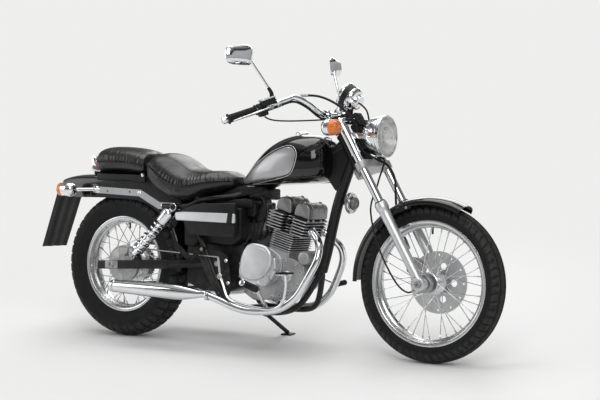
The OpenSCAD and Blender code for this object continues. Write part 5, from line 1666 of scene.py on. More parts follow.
            tray.slab(plate, s * 116.6, s * 119.4, 1)
            for x, z in ((486, 372), (590, 352), (602, 262), (560, 226)):
                tray.bolt([x, s * 119, z], (0, s, 0), 6, 1)
        tray.build("battery_box_and_tray", [PLASTIC, CHROME], "chassis", (), "black_plastic")

    def build(self) -> None:
        """Makes everything of the chassis."""
        for part in (self.frame, self.tray, self.stand, self.swingarm, self.shocks, self.drum, self.axle,
                self.chain, self.feet, self.horn):
            part()


@dataclass
class Tail:
    """What the rear fender carries: the struts' screws, tail light, signals and the mud flap."""

    signal_y: float = 160.0

    def lamps(self) -> None:
        """A tail light with a chrome base and hood, and two bullet signals on stalks."""
        lamp = Shape()
        base = rounded([[-184, 705], [-184, 770], [-176, 771.5], [-142, 765], [-134.5, 758], [-134.5, 700]], 8)
        lamp.slab(inset(base, 1.5), -44, 44, 7, 1)
        for y in (-44, 40.5):
            lamp.slab(base, y, y + 3.5, 1.5, 0)
        lens = rounded([[-146, 704], [-146, 766.5], [-134, 758], [-134, 702]], 3)
        lamp.slab(lens, -42, 42, 3, 0)
        foot = rounded([[-178, 688.6], [-178, 708], [-138, 708], [-138, 690]], 4)
        lamp.slab(foot, -36, 36, 6, 3)
        for s in SIDES:
            base = [-176, s * self.signal_y, 622]
            lamp.lathe(base, (-1, 0, 0), bullet_profile(61, 31), 64, 0)
            lamp.lathe(base, (-1, 0, 0), [[60, 0], [60, 29.8], [78, 29.4], [83, 27], [85.6, 18], [86, 0]], 64, 2)
            lamp.tube(curve([[-196, s * 134, 622], [-160, s * 112, 623], [-126, s * 93, 624]], 6), 7.4, 20, 0)
            lamp.tube([[-126, s * 99, 624], [-126, s * 83.5, 624]], 9, 24, 0)
        lamp.build("tail_lamp_and_signals", [CHROME, RED, AMBER, PLASTIC], "chassis", ["rear_lamps"],
            "amber_red_lens")

    def struts(self) -> None:
        """Screws on the chrome struts."""
        screws = Shape()
        for s in SIDES:
            for x, z in ((112, 615), (236, 563), (328, 563)):
                screws.lathe([x, s * 82.4, z], (0, s, 0), [[0, 0], [0, 8], [1.4, 8], [4, 5.6], [4.6, 0]], 24)
        screws.build("strut_screws", [CHROME], "chassis", (), "chrome")

    def flap(self) -> None:
        """The mud flap: a narrowing plane with folds that go as the square of a cosine across it."""
        flap = Shape()
        top, low = np.array([-330.0, 0, 645]), np.array([-431.0, 0, 366])
        d = unit(low - top)
        out = np.array([d[2], 0, -d[0]])
        length = float(np.linalg.norm(low - top))
        u = np.linspace(-1, 1, 33)
        v = np.linspace(0, 1, 40)
        width = 84 * (1 - 0.06 * np.abs(v - 0.1))
        p = (top + d * (v * length)[:, None])[:, None] + np.zeros((len(v), len(u), 3))
        p[..., 1] = u[None] * width[:, None]
        fold = 2.4 * np.cos(u * np.pi * 1.5)[None] ** 2
        front = p + out * (fold - 3.2)[..., None]
        rear = p + out * (fold - 0.4)[..., None]
        flap.grid(np.concatenate([rear, front[:, ::-1]], 1), loop_v=True)
        for row, flip in ((0, 1), (-1, -1)):
            flap.grid(np.stack([rear[row], front[row]])[::flip])
        flap.build("mud_flap", [PLASTIC], "chassis", ["plate_bracket"], "black_plastic")

    def build(self) -> None:
        """Makes the tail's pieces."""
        self.lamps()
        self.struts()
        self.flap()


def bullet_profile(length: float, r: float) -> list[list[float]]:
    """A bullet lamp's shell: a nose whose radius falls as the root of 1 less t to the 2.4, then a cylinder."""
    nose = [[(1 - t) * length * 0.62, r * math.sqrt(1 - t ** 2.4)] for t in np.linspace(1, 0, 14)]
    return nose + [[length * 0.64, r - 0.2], [length * 0.8, r], [length - 3, r], [length - 1, r],
        [length, r - 2], [length, 0]]


# ---- fork, lamp and bars ----

@dataclass
class Fork:
    """The fork: yokes, chrome tubes, alloy sliders, axle, caliper and the fender's stays."""

    half: float = 92.0
    tube_r: float = 16.5
    slider_r: float = 22.0

    def yoke(self, shape: Shape, z0: float, z1: float, half: float, tag: int) -> None:
        """A yoke: an outline that joins the two clamps and the stem, with rounded edges, and pinch bolts."""
        arc = np.linspace(0, np.pi, 16)
        left = np.stack([FORK_OFFSET + half * np.cos(arc), self.half + half * np.sin(arc)], 1)
        stem = np.array([[30, 60], [4, 29], [-20, 20], [-27, 0], [-20, -20], [4, -29], [30, -60]])
        right = np.stack([FORK_OFFSET + half * np.cos(arc[::-1]), -self.half - half * np.sin(arc[::-1])], 1)
        outline = np.vstack([left, stem, right])
        shape.slab(outline[::-1], z0, z1, 4, tag, IN_STEERING)
        for s in SIDES:
            pinch = steering(FORK_OFFSET - half - 0.5, s * (self.half - 8), (z0 + z1) / 2)
            shape.bolt(pinch, -STEER_AHEAD, 4.5, 2)

    def yokes(self) -> None:
        """Lower and upper yokes, stem, bar clamps and headlight ears."""
        bridges = Shape()
        self.yoke(bridges, 497, 529, 25, 0)
        self.yoke(bridges, 694, 714, 24, 1)
        bridges.tube([steering(0, 0, 527), steering(0, 0, 693.6)], 13, 28)
        bridges.lathe(steering(0, 0, 713.5), STEER_UP, [[0, 0], [0, 18], [2, 18], [2, 15], [9, 15], [11, 13],
            [11, 0]], 6, 2)
        for s in SIDES:
            up = np.array([1010, s * 46, 940.0])
            foot = steering(8, s * 46, 713.6)
            d = unit(up - foot)
            bridges.lathe([1010, s * 34, 940], (0, s, 0), [[0, 11.4], [0, 17], [1.5, 18], [22.5, 18], [24, 17],
                [24, 11.4], [0, 11.4]], 48, 1)
            bridges.tube([foot - d, up - d * 14], 12.5, 28, 1)
            for t in (-1, 1):
                bridges.bolt([1010 + t * 11, s * 46, 955.5], (t * 0.3, 0, 1), 3.6, 2)
            h0, h1 = 560.0, 680.0
            ear = [[h0, 17], [h0, 20.5], [h0 + 8, 20.5], [h0 + 9, 19.2], [h1 - 9, 19.2], [h1 - 8, 20.5],
                [h1, 20.5], [h1, 17], [h0, 17]]
            bridges.lathe(steering(FORK_OFFSET, s * self.half, 0), STEER_UP, ear, 48, 1)
            bridges.lathe(steering(FORK_OFFSET, s * self.half, 713), STEER_UP, [[0, 0], [0, 15.6], [5, 15.6],
                [6.5, 14], [6.8, 7], [5.6, 6.4], [5.6, 0]], 40, 2)
        bridges.build("fork_bridges", [CAST, CHROME, STEEL], "steering", ["fork_yokes"], "grey_alloy")

    def legs(self) -> None:
        """The tubes, and the sliders with their seals, axle clamps and drain screws."""
        tubes = Shape()
        sliders = Shape()
        for s in SIDES:
            foot = steering(FORK_OFFSET, s * self.half, 0)
            tubes.lathe(foot, STEER_UP, [[285, 0], [285, self.tube_r], [719.4, self.tube_r], [719.9, 15.5],
                [719.9, 0]], 60)
            r = self.slider_r
            sliders.lathe(foot, STEER_UP, [[-14, 0], [-14, r - 4], [0, r - 1.2], [40, r - 2.4], [120, r - 2.6],
                [250, r - 2.4], [300, r - 0.8], [318, r], [321, r + 2], [324, r + 3], [346, r + 3],
                [348, r + 2], [349, r - 1], [355, r - 2.2], [355, 16.8], [340, 16.8], [340, 0]], 60)
            sliders.lathe(foot, STEER_UP, [[349, 17], [349, 21.6], [352, 22], [354.8, 19.4], [354.8, 17],
                [349, 17]], 48, 1)
            y0 = s * self.half - 20
            sliders.lathe([foot[0], y0, foot[2]], ACROSS, sleeve(8.4, 24, 40, 2), 48)
            sliders.bolt(foot + [-10, s * 8, -20], (0, 0, -1), 4, 2)
            sliders.bolt(foot + STEER_UP * 30 + [0, s * (r - 3.2), 0], (0, s, 0), 4, 2)
        tubes.build("chrome_fork_tubes", [CHROME], "steering", ["fork_tubes"], "chrome")
        sliders.build("alloy_sliders", [SATIN_ALLOY, RUBBER, STEEL], "steering", ["fork_sliders"],
            "satin_alloy")

    def stays(self) -> None:
        """The front fender's stays: a flat plate inside each slider."""
        stay = Shape()
        for s in SIDES:
            outline = rounded(np.array([[-215, 200], [-190, 235], [-150, 262], [-118, 280], [-60, 294],
                [-60, 284], [-120, 262], [-170, 226], [-196, 196]]) + [WHEELBASE, FRONT_R], 5)
            stay.slab(outline, s * 58.6, s * 69.4, 1.5, 0)
            stay.bolt([WHEELBASE - 80, s * 69.0, FRONT_R + 285], (0, s, 0), 4, 1)
        stay.build("fender_stays", [SATIN_BLACK, STEEL], "steering", (), "black_gloss")

    def caliper(self) -> None:
        """The brake caliper: a cast body over the disc's rear edge, with two slide bolts and a round cap."""
        caliper = Shape()
        c, s = math.cos(math.radians(20)), math.sin(math.radians(20))
        def at(x: float, z: float) -> list[float]:
            """A corner of the body, turned 20 degrees in side view."""
            return [1340 + x * c + z * s, 330 - x * s + z * c]
        outline = rounded([at(-20, 2), at(44, 2), at(44, 40), at(34, 65), at(-14, 65), at(-20, 50)], 10)
        caliper.slab(outline, 66.6, 91.5, 5, 0)
        caliper.slab(outline, 48.5, 51.6, 1.5, 0)
        bridge = rounded([at(-20, 30), at(-6, 30), at(-6, 65), at(-16, 65), at(-20, 56)], 4)
        caliper.slab(bridge, 50, 68, 2, 0)
        for x, z in ((6, 56), (26, 20)):
            p = at(x, z)
            caliper.bolt([p[0], 85.0, p[1]], ACROSS, 5.5, 1)
        p = at(22, 44)
        caliper.lathe([p[0], 84.0, p[1]], ACROSS, [[0, 0], [0, 14], [4, 14], [6.4, 12], [6.8, 0]], 32, 0)
        caliper.build("caliper_body", [CAST, STEEL], "steering", ["brake_caliper"], "black_caliper")

    def build(self) -> None:
        """Makes the fork."""
        self.yokes()
        self.legs()
        self.stays()
        self.caliper()


@dataclass
class Headlight:
    """The lamp: a deep chrome shell, a rim, a reflector with its bulb, and a fluted lens."""

    x: float = 1262.0
    z: float = 858.0

    def build(self) -> None:
        """Makes the shell with its rim and reflector, and the lens."""
        shell = Shape()
        back = np.array([self.x - 8, 0, self.z])
        t = np.linspace(0, 1, 20)
        cup = np.stack([14 + 89 * np.sin(t * np.pi / 2) ** 1.25, 79.5 * np.cos(t * np.pi / 2) ** 0.62], 1)
        shell.lathe(back, (-1, 0, 0), [[12, 78.4], *cup.tolist()], 96, 0)
        shell.lathe(back, (-1, 0, 0), [[0.4, 72], [0.3, 79], [1, 81], [4, 82], [10, 82], [13, 81], [14.5, 79.6],
            [14.5, 77]], 96, 0)
        bowl = np.linspace(0, 1, 14)
        dish = np.stack([3 + 62 * (1 - bowl ** 2), 4 + 70 * bowl], 1)
        shell.lathe(back, (-1, 0, 0), [*dish[::-1].tolist(), [66.5, 0.0]], 72, 1)
        shell.lathe(back - [60, 0, 0], (1, 0, 0), [[0, 0], [0, 9], [26, 9], [31, 6], [33, 0]], 30, 2)
        for s in SIDES:
            plate = rounded([[1122, 846], [1122, 872], [1216, 866], [1216, 850]], 5)
            shell.slab(plate, s * 71.1, s * 68.2, 0.8, 3)
            shell.bolt([1196, s * 71, self.z], (0, s, 0), 5.5, 3)
        shell.bolt([self.x - 12, 0, self.z - 81.5], (0, 0, -1), 3, 3, 12)
        shell.build("lamp_shell", [CHROME, REFLECTOR, WHITE_PAINT, DULL_CHROME], "steering",
            ["headlight_shell"], "chrome")
        lens = Shape()
        u = np.linspace(0, 1, 16)
        dome = np.stack([0.5 + 12.3 * (1 - u ** 2), 78.5 * u], 1)
        lens.lathe(back, (1, 0, 0), [*dome.tolist(), [0.4, 78.5], [0.4, 0]], 96, 0)
        lens.build("lamp_lens", [CLEAR], "steering", ["headlight_lens"], "clear_lens")
        lens_ring = Shape()
        lens_ring.lathe(back, (1, 0, 0), [[0.4, 77.5], [0.4, 82], [2.2, 82], [3.4, 80.6], [3.2, 78],
            [0.4, 77.5]], 96, 0)
        lens_ring.build("lamp_rim", [CHROME], "steering", (), "chrome")


@dataclass
class Signals:
    """The front signals beside the lamp: chrome bullets with amber lenses facing ahead, on short stalks."""

    x: float = 1140.0
    z: float = 888.0

    def build(self) -> None:
        """Makes both signals."""
        shape = Shape()
        for s in SIDES:
            tip = np.array([self.x - 76, s * 168, self.z])
            shape.lathe(tip, (1, 0, 0), bullet_profile(42, 32), 64, 0)
            shape.lathe(tip, (1, 0, 0), [[40, 0], [40, 31.4], [52, 31], [66, 28.6], [72, 25], [75, 18],
                [76, 0]], 64, 1)
            shape.tube([[1117, s * 142, self.z - 6], [1117, s * 113.2, self.z - 6]], 6.8, 24, 0)
        shape.build("front_bullet_signals", [CHROME, AMBER], "steering", ["front_signals"], "amber_red_lens")


@dataclass
class Speedometer:
    """The speedometer: a chrome cup with a black band, a bezel, a blank-faced dial with ticks and a needle."""

    dial: tuple[float, float, float] = (1061.0, 0.0, 1024.0)
    back: tuple[float, float, float] = (1119.0, 0.0, 992.0)

    def build(self) -> None:
        """Makes the cup, its face and its bracket."""
        cup = Shape()
        dial, back = np.array(self.dial), np.array(self.back)
        axis = unit(back - dial)
        depth = float(np.linalg.norm(back - dial))
        cup.lathe(dial, axis, [[3, 45], [0.5, 46.5], [0.2, 49], [1, 50.6], [3, 51], [9, 51], [12, 49.5],
            [13, 48.5], [14, 48]], 96, 0)
        cup.lathe(dial, axis, [[13, 47], [13, 48.6], [40, 48.2], [41, 47], [13, 47]], 96, 1)
        cup.lathe(dial, axis, [[39, 46], [39, 49.4], [42, 49.8], [50, 48], [58, 42], [depth - 4, 32],
            [depth + 2, 30], [depth + 11, 29], [depth + 12, 27], [depth + 12, 0]], 96, 0)
        cup.lathe(dial, axis, [[6, 46], [6, 0]], 72, 2)
        side = np.array([0, 1.0, 0])
        up = np.cross(axis, side)
        for k in range(29):
            a = math.radians(-130 + 260 * k / 28)
            d = math.sin(a) * side + math.cos(a) * up
            long = 9 if k % 4 == 0 else 5
            p = np.array([dial + axis * 5.6 + d * (42 - long), dial + axis * 5.6 + d * 42])
            cup.tube(p, 0.7 if k % 4 else 1.0, 6, 3)
        d = math.sin(-2.2) * side + math.cos(-2.2) * up
        cup.tube([dial + axis * 4.6 - d * 8, dial + axis * 4.6 + d * 34], [1.6, 0.6], 8, 4)
        cup.lathe(dial + axis * 5, -axis, [[0, 5], [2, 5], [3, 3.6], [3, 0]], 24, 1)
        foot = steering(43, 0, 714.8)
        mid = back - [25, 0, -10]
        cup.tube(curve([foot, (foot + mid) / 2, mid], 6), 13.4, 24, 1, 0.9)
        cup.build("speedometer_cup", [CHROME, PLASTIC, DIAL_FACE, WHITE_PAINT, AMBER], "steering",
            ["speedometer"], "chrome", crease=30)
        glass = Shape().lathe(dial, axis, [[1.4, 0], [2.0, 30], [3, 45.5], [4, 45.5], [3.4, 30], [2.9, 0]], 64, 0)
        glass.build("speedometer_glass", [DIAL_GLASS], "steering", (), "clear_lens")


@dataclass
class Bars:
    """The handlebar with its grips, controls, levers and mirrors."""

    r: float = 11.0
    clamp: tuple[float, float, float] = (1010.0, -62.0, 940.0)
    bend: tuple[float, float, float] = (944.0, -184.0, 1003.0)
    end: tuple[float, float, float] = (780.0, -396.0, 910.0)

    def on_bar(self, s: float, distance: float) -> Array:
        """A point on the straight end of the bar, a distance in from its tip."""
        end, bend = on_side(self.end, s), on_side(self.bend, s)
        return end + unit(bend - end) * distance

    def inward(self, s: float) -> Array:
        """The direction from the tip towards the bend."""
        return unit(self.on_bar(s, 1) - self.on_bar(s, 0))

    def bar(self) -> None:
        """One tube from tip to tip."""
        clamp, bend, end = (np.array(v) for v in (self.clamp, self.bend, self.end))
        right = curve([clamp, [1004, -96, 948], [976, -146, 984], bend, bend + (end - bend) * 0.15, end], 10)[::-1]
        left = (right * [1, -1, 1])[::-1]
        shape = Shape()
        shape.tube(np.vstack([right, [[self.clamp[0], 0, self.clamp[2]]], left]), self.r, 32)
        shape.build("handlebar_tube", [CHROME], "steering", ["handlebar"], "chrome")

    def grips(self) -> None:
        """Ribbed rubber grips between two flanges, with chrome weights outside them."""
        shape = Shape()
        for s in SIDES:
            base, d = self.on_bar(s, 0), self.inward(s)
            profile = [[2, 11.3], [2, 19.5], [3.5, 20.8], [6, 20.4], [8, 15.4]]
            for h in np.arange(12, 110, 6.0):
                profile += [[h, 15.9], [h + 3.6, 15.9], [h + 4.2, 15.0], [h + 5.4, 15.0]]
            profile += [[114, 15.2], [116, 20], [119, 20.8], [120, 19.5], [120, 11.3]]
            shape.lathe(base, d, [*profile, [2, 11.3]], 72, 0, (24, 0.006))
            shape.lathe(base, d, [[-23.6, 0], [-23.6, 8], [-21, 12], [-16, 13.8], [-5, 13.8], [-2, 12.4],
                [-0.5, 11], [-0.4, 0]], 48, 1)
        shape.build("bar_grips", [RUBBER, CHROME], "steering", ["grips"], "black_rubber")

    def frame_at(self, s: float, distance: float) -> Matrix:
        """A turn and move whose Y runs inwards along the bar and whose Z is up across it."""
        d = self.inward(s)
        up = unit(np.array([0, 0, 1.0]) - d * d[2])
        ahead = np.cross(d, up)
        ahead = ahead if ahead[0] > 0 else -ahead
        return placing(ahead, d, up, self.on_bar(s, distance))

    def controls(self) -> None:
        """Switch housings, lever brackets, levers and the brake's reservoir."""
        shape = Shape()
        for s in SIDES:
            m = self.frame_at(s, 124)
            box = rounded([[-19, -30], [13, -32], [19, 8], [12, 20], [-12, 20], [-19, 12]], 7)
            shape.slab(box, 2, 38, 4, 0, m)
            shape.block(m @ Vector((-19, 20, 4)), [4, 12, 7], 1.5, 1, m.to_3x3())
            shape.block(m @ Vector((-19, 30, -8)), [4, 6, 6], 1.5, 2, m.to_3x3())
            clamp = rounded([[-16, -15], [14, -15], [26, -6], [28, 6], [14, 14], [-14, 16]], 6)
            shape.slab(clamp, 44, 66, 4, 3, m)
            shape.slab(clamp, 78, 96, 4, 3, m)
            if s == RIGHT:
                cup = rounded([[4, 4], [36, 4], [38, 28], [2, 28]], 4)
                shape.slab(cup, 16, 74, 4, 0, m)
                window = rect(-0.4, 10, 4, 23, 1)
                shape.slab(window, 26, 60, 1, 2, m)
                lid = rect(0, 27, 40, 32, 1.6)
                shape.slab(lid, 14, 76, 1.6, 3, m)
            path = [[26, 56, -4], [34, 40, -5], [36, 10, -6], [33, -30, -8], [34, -70, -9], [40, -104, -10],
                [45, -112, -10]]
            smooth = curve([m @ Vector(p) for p in path], 8)
            radii = np.interp(np.linspace(0, 1, len(smooth)), [0, 0.15, 0.5, 0.92, 0.96, 1],
                [7, 6.4, 5.2, 4.6, 6.6, 6])
            shape.tube(smooth, radii, 20, 3, 0.7, tuple(np.array(m)[:3, 0]))
            shape.bolt(m @ Vector((27, 55, 3)), np.array(m)[:3, 2], 5, 3)
        shape.build("bar_controls", [PLASTIC, RED, WHITE_PAINT, POLISHED], "steering", ["hand_controls"],
            "black_plastic")

    def mirrors(self) -> None:
        """Chrome stems and domed mirror backs, each with a glass that faces the rider."""
        shape = Shape()
        for s in SIDES:
            base = np.array(self.end) + (np.array(self.bend) - np.array(self.end)) * 0.66
            start = np.array([base[0], s * -base[1], base[2] + 20])
            mid = np.array([800, s * 356, 1158.0])
            knee = np.array([834, s * 300, 1118.0])
            back = mid + [12, 0, -6]
            stem = curve([start, start + [-2, s * 2, 26], knee, knee + [-12, s * 22, 24], back], 10)
            shape.tube(stem, 5, 20, 0)
            shape.lathe(start - [0, 0, 2], UP, [[0, 0], [0, 9], [12, 9], [14, 7], [14, 0]], 6, 0)
            shape.tube(curve([start + [0, 0, 8], start + [-2, s * 2, 26], start + [-12, s * 9, 46]], 6),
                np.linspace(9, 6.4, 13), 20, 2)
            yaw, pitch = s * math.radians(15), math.radians(-4)
            normal = -np.array([math.cos(yaw) * math.cos(pitch), math.sin(yaw) * math.cos(pitch),
                -math.sin(pitch)])
            across = unit(np.cross([0, 0, 1], normal))
            up = np.cross(normal, across)
            out = across if across[1] * s > 0 else -across
            face = rounded([[-62, -38], [30, -40], [66, -30], [69, 2], [59, 33], [-52, 42], [-68, 28]], 15, 8)
            ring = face[:, 0:1] * out + face[:, 1:2] * up
            shell = [(2.6, 0.93), (2.9, 0.975), (1.5, 0.998), (-2, 1.0), (-5, 0.97), (-10.5, 0.87),
                (-15.6, 0.72), (-16.9, 0.66), (-17.5, 0.3), (-17.6, 0)]
            glass = [(0.5, 0.9), (2.5, 0.935), (2.55, 0.6), (2.55, 0)]
            for tag, levels in enumerate((shell, glass)):
                shape.grid(np.stack([mid + ring * k + normal * h for h, k in levels]), loop_v=True, tag=tag)
        shape.build("rear_view_mirrors", [CHROME, MIRROR_GLASS, RUBBER], "steering", ["mirrors"], "chrome")

    def build(self) -> None:
        """Makes the bars and all they carry."""
        self.bar()
        self.grips()
        self.controls()
        self.mirrors()


@dataclass
class Cables:
    """The brake hose, the speedometer cable and the two hand cables, and the cover over the wiring."""

    hose: list[list[float]] = field(default_factory=lambda: [[950, -150, 1012], [1010, -112, 1010],
        [1072, -84, 982], [1124, -62, 935], [1148, -52, 885], [1158, -54, 835], [1184, -50, 796],
        [1230, -44, 772], [1262, -6, 748], [1270, 34, 706], [1266, 56, 660], [1264, 64, 615], [1262, 80, 562],
        [1284, 88, 490], [1318, 80, 425]])
    speedo: list[list[float]] = field(default_factory=lambda: [[1150, 26, 954], [1150, 50, 890],
        [1158, 54, 835], [1184, 50, 796], [1224, 36, 768], [1243, -6, 740], [1250, -44, 700], [1246, -62, 655],
        [1236, -80, 600], [1240, -86, 550], [1262, -88, 470], [1306, -92, 380], [1360, -92, 300],
        [1400, -84, 270], [1422, -64, 277]])
    pull: list[list[float]] = field(default_factory=lambda: [[867.3, -283.2, 937.9], [873, -272, 922],
        [890, -248, 913], [917, -212, 911], [960, -168, 913], [1032, -112, 919], [1058, -84, 926],
        [1086, -62, 938], [1110, -44, 944], [1129, -33, 929], [1140, -30, 900], [1134.5, -27, 877],
        [1127, -26, 864.4]])

    def build(self) -> None:
        """Makes each one smooth tube, with collars at the ends, a loom along the bars and the covers."""
        shape = Shape()
        hose = curve(self.hose, 10)
        shape.tube(hose, 4.5, 16)
        dial, back = np.array(Speedometer.dial), np.array(Speedometer.back)
        axis = unit(back - dial)
        cable = np.vstack([back + axis * 12.4, curve([back + axis * 20, *self.speedo], 10)])
        shape.tube(cable, 3.4, 16)
        pulls = [curve(on_side(self.pull, s), 10) for s in SIDES]
        for pull in pulls:
            shape.tube(pull, 3.0, 14)
        for path, r in ((hose[:6], 6.2), (hose[-7:], 6.2), (cable[-6:], 5), (pulls[0][:9], 4.6), (pulls[1][:9], 4.6)):
            shape.tube(path, r, 6, 1)
        loom = [[866, -286, 942], [900, -240, 963], [940, -186, 986], [974, -146, 968], [1000, -100, 934],
            [1016, -74, 922], [1046, -58, 926], [1090, -40, 936], [1120, -30, 926]]
        for s in SIDES:
            shape.tube(curve(on_side(loom, s), 8), 4.4, 12)
        for h0, h1, a0, a1, half in ((576, 691, 59, 76, 36), (674, 730, 86, 103, 26)):
            shape.slab(rect(a0, -half, a1, half, 7), h0, h1, 6, 2, IN_STEERING)
        bag = rounded([[34.6, -39.4], [52, -39.4], [57.4, -30], [57.4, 30], [52, 39.4], [34.6, 39.4]], 7)
        shape.slab(bag, 529.8, 667, 7, 2, IN_STEERING)
        for h in (572, 618):
            shape.slab(inset(bag, -0.5), h, h + 7, 1, 0, IN_STEERING)
        shape.build("hose_and_cable", [RUBBER, STEEL, PLASTIC], "steering", ["front_cables"], "black_plastic")


# ---- the machine and its setting ----

class NodeFinish(Enum):
    """The CAD nodes that are shown as they are, each with its finish."""

    BRAKE_DISC = ("brake_disc", DISC_STEEL)
    FRONT_AXLE = ("front_axle", STEEL)
    FENDER_STRUTS = ("fender_struts", CHROME)


def wheels() -> list[Wheel]:
    """The two wheels."""
    front = FrontWheel("front", "front_wheel", (WHEELBASE, 0, FRONT_R), FRONT_R, half=41, crown=CROWN_FRONT,
        rim_r=241, rim_half=30, blocks=58, hub_profile=[[-44, 8.2], [-44, 20], [-42, 24], [-36.5, 26],
        [-36.5, 42], [-35, 44], [-30, 44], [-29, 40], [-24, 27], [24, 27], [29, 40], [30, 44], [35, 44],
        [36.5, 42], [36.5, 27], [54, 27], [56.4, 25], [56.4, 8.2], [-44, 8.2]], hub_r=40, hub_y=33,
        spoke_end=213, spoke_y=7, straight_ribs=True)
    rear = RearWheel("rear", "rear_wheel", (0, 0, REAR_R), REAR_R, half=64, crown=CROWN_REAR, rim_r=205,
        rim_half=39, blocks=44, hub_profile=[[-36, 8.2], [-36, 70], [-34, 84], [-27, 84], [-25, 72], [25, 72],
        [27, 84], [33, 84], [35, 80], [40, 72], [44, 68], [44, 36], [84, 34], [85, 20], [85, 8.2], [-36, 8.2]],
        hub_r=81, hub_y=30, spoke_end=177, spoke_y=8, straight_ribs=False, tread_depth=6)
    return [front, rear]


def fenders() -> list[Fender]:
    """The two fenders."""
    r, skirt = 330, 34.0
    arc = [[WHEELBASE + r * math.cos(a), FRONT_R + r * math.sin(a), skirt]
        for a in np.radians(np.linspace(181, 64, 14))]
    rear = [[-336, 650, 40], [-325, 672, 76], [-250, 687, 98], [-150, 690, 100], [-60, 688, 98], [40, 674, 88],
        [130, 644, 68], [212, 592, 50], [276, 524, 40], [318, 444, 34], [338, 362, 30], [340, 292, 28]]
    return [Fender("front_fender", "steering", arc, half=58, rise=24), Fender("rear_fender", "chassis", rear,
        half=77, rise=22)]


def seats() -> list[Cushion]:
    """The rider's seat and the pillion's pad."""
    form = [[158, 0.62, 756, 680], [186, 0.84, 776, 652], [232, 0.97, 782, 624], [290, 1, 758, 598],
        [350, 1, 724, 586], [410, 0.96, 708, 592], [480, 0.82, 709, 614], [545, 0.60, 706, 636],
        [580, 0.38, 696, 652]]
    seam = [[572, 0.30, 0.5], [540, 0.52, 0.55], [480, 0.8, 0.56], [410, 0.945, 0.52], [350, 0.985, 0.46],
        [290, 0.985, 0.45], [232, 0.955, 0.52], [186, 0.8, 0.64], [163, 0.5, 0.74]]
    rider = Cushion("rider_seat", form, seam, half=155, waist=0.55, cap=6)
    form = [[-132, 0.55, 784, 716], [-118, 0.78, 800, 694], [-60, 0.96, 809, 693], [30, 1, 806, 693],
        [100, 1, 796, 690], [146, 0.96, 784, 690]]
    seam = [[-130, 0.3, 0.5], [-118, 0.7, 0.46], [-60, 0.95, 0.44], [30, 0.99, 0.44], [100, 0.99, 0.44],
        [140, 0.95, 0.44]]
    return [rider, Cushion("pillion_seat", form, seam, half=112, waist=0.5, cap=5)]


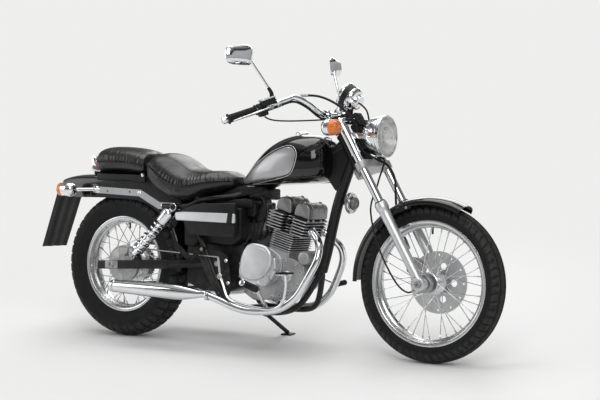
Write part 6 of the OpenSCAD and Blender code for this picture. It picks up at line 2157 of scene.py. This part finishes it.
@dataclass
class Studio:
    """A pale floor, soft lamps and the camera."""

    eye: tuple[float, float, float] = (4069.0, -5084.0, 709.0)
    right: tuple[float, float, float] = (0.8387, 0.5442, 0.0189)
    down: tuple[float, float, float] = (0.0257, -0.0049, -0.9997)
    ahead: tuple[float, float, float] = (-0.544, 0.839, -0.0182)
    focal: float = 1502.1
    width: float = 600.0
    shift: tuple[float, float] = (19.0, 0.5)
    sensor: float = 36.0
    backdrop: tuple[float, float, float] = (0.86, 0.86, 0.85)
    glow: float = 0.55
    sky: tuple[tuple[float, float], ...] = ((0.0, 0.6), (0.5, 0.62), (0.54, 0.8), (0.6, 0.9), (0.64, 0.08),
        (0.72, 0.1), (0.76, 0.7), (0.84, 0.15), (0.9, 0.9), (1.0, 1.0))

    def floor(self) -> None:
        """A wide disc at ground level that fades to the backdrop away from the machine."""
        n, radii = 96, [0.0, 0.5, 1, 2, 4, 8, 16, 32]
        a = np.linspace(0, 2 * np.pi, n, endpoint=False)
        r = np.array(radii)[:, None]
        p = np.stack([r * np.cos(a), r * np.sin(a), np.zeros((len(radii), n))], -1)
        i, j = np.meshgrid(np.arange(len(radii) - 1) * n, np.arange(n), indexing="ij")
        faces = np.stack([i + j, i + n + j, i + n + (j + 1) % n, i + (j + 1) % n], -1)
        mesh = bpy.data.meshes.new("floor")
        mesh.from_pydata(p.reshape(-1, 3).tolist(), [], faces.reshape(-1, 4).tolist())
        bm = bmesh.new()
        bm.from_mesh(mesh)
        bmesh.ops.remove_doubles(bm, verts=bm.verts, dist=1e-6)
        bm.to_mesh(mesh)
        bm.free()
        g = Graph("pale floor")
        g.feed(g.shader.inputs["Base Color"], g.blend(g.noise(3.0), rgba((0.8, 0.8, 0.795)),
            rgba((0.82, 0.82, 0.815))))
        g.shader.inputs["Roughness"].default_value = 0.7
        far = g.node("ShaderNodeVectorMath", {0: g.place()}, output="Value", operation="LENGTH").over(1.1, 3.4)
        rays = [g.node("ShaderNodeLightPath", output=f"Is {ray} Ray") for ray in ("Camera", "Glossy",
            "Transmission")]
        plain = g.node("ShaderNodeEmission", {"Color": rgba(self.backdrop)})
        lit = Value(g, g.shader.outputs[0])
        shown = g.node("ShaderNodeMixShader", {0: far * (rays[0] + rays[1] + rays[2]), 1: lit, 2: plain})
        g.feed(g.tree.nodes["Material Output"].inputs["Surface"], shown)
        mesh.materials.append(g.material)
        floor = bpy.data.objects.new("floor", mesh)
        bpy.context.scene.collection.objects.link(floor)

    def world(self) -> None:
        """A soft sky in bright and dark bands by height, for the metal to show, and plain pale to the camera."""
        world = bpy.data.worlds.new("studio")
        bpy.context.scene.world = world
        world.use_nodes = True
        world.node_tree.nodes.clear()
        g = Graph(world.name, world.node_tree)
        height = g.node("ShaderNodeSeparateXYZ", {0: g.node("ShaderNodeTexCoord", output="Generated")}, output="Z")
        shade = g.node("ShaderNodeValToRGB", {0: height * 0.5 + 0.5})
        ramp = shade.socket.node.color_ramp
        for at, level in self.sky[1:-1]:
            ramp.elements.new(at)
        for stop, (at, level) in zip(ramp.elements, self.sky):
            stop.position, stop.color = at, rgba((level,) * 3)
        soft = g.node("ShaderNodeBackground", {"Color": shade, "Strength": self.glow})
        plain = g.node("ShaderNodeBackground", {"Color": rgba(self.backdrop)})
        seen = g.node("ShaderNodeLightPath", output="Is Camera Ray")
        g.node("ShaderNodeOutputWorld", {0: g.node("ShaderNodeMixShader", {0: seen, 1: soft, 2: plain})}, output=None)

    def lamp(self, name: str, at: Sequence[float], size: float, watts: float) -> None:
        """A square soft lamp that looks at the middle of the machine."""
        data = bpy.data.lights.new(name, "AREA")
        data.shape, data.size, data.energy = "SQUARE", size, watts
        lamp = bpy.data.objects.new(name, data)
        back = unit(np.array(at) - [0, 0, 0.5])
        right = unit(np.cross(UP, back))
        lamp.matrix_world = placing(right, np.cross(back, right), back, at)
        bpy.context.scene.collection.objects.link(lamp)

    def camera(self) -> None:
        """The camera, whose place and axes are given in the upright machine's frame."""
        data = bpy.data.cameras.new("camera")
        data.sensor_width, data.lens = self.sensor, self.focal * self.sensor / self.width
        data.shift_x, data.shift_y = (v / self.width for v in self.shift)
        data.clip_end = 200.0
        camera = bpy.data.objects.new("camera", data)
        eye = parked(np.array(self.eye))
        zero = parked(np.zeros(3))
        axes = [unit(parked(np.array(v) * s) - zero) for v, s in ((self.right, 1000.0), (self.down, -1000.0),
            (self.ahead, -1000.0))]
        camera.matrix_world = placing(*axes, eye)
        bpy.context.scene.collection.objects.link(camera)
        bpy.context.scene.camera = camera

    def build(self) -> None:
        """Makes the floor, the light and the camera."""
        self.floor()
        self.world()
        self.lamp("key", (3.2, -4.2, 4.6), size=3.4, watts=165)
        self.lamp("sky", (-0.5, 0.6, 5.2), size=4.2, watts=150)
        self.lamp("fill", (-4.6, -2.6, 2.4), size=3.0, watts=60)
        self.lamp("rim", (-1.5, 4.8, 3.0), size=3.0, watts=70)
        self.camera()
        bpy.context.scene.view_settings.view_transform = "Standard"


def main() -> None:
    """Loads the frame and builds every sub-assembly in order."""
    logging.basicConfig(level=logging.INFO, format="%(message)s")
    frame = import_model()
    for choice in NodeFinish:
        node, finish = choice.value
        mesh = frame["nodes"][node].data
        mesh.materials.clear()
        mesh.materials.append(finish.material())
    for part in [*wheels(), *fenders(), Tank(), *seats(), Engine(), Exhaust(), Chassis(), Tail(), Fork(),
            Headlight(), Signals(), Speedometer(), Bars(), Cables(), Studio()]:
        part.build()


if __name__ == "__main__":
    main()
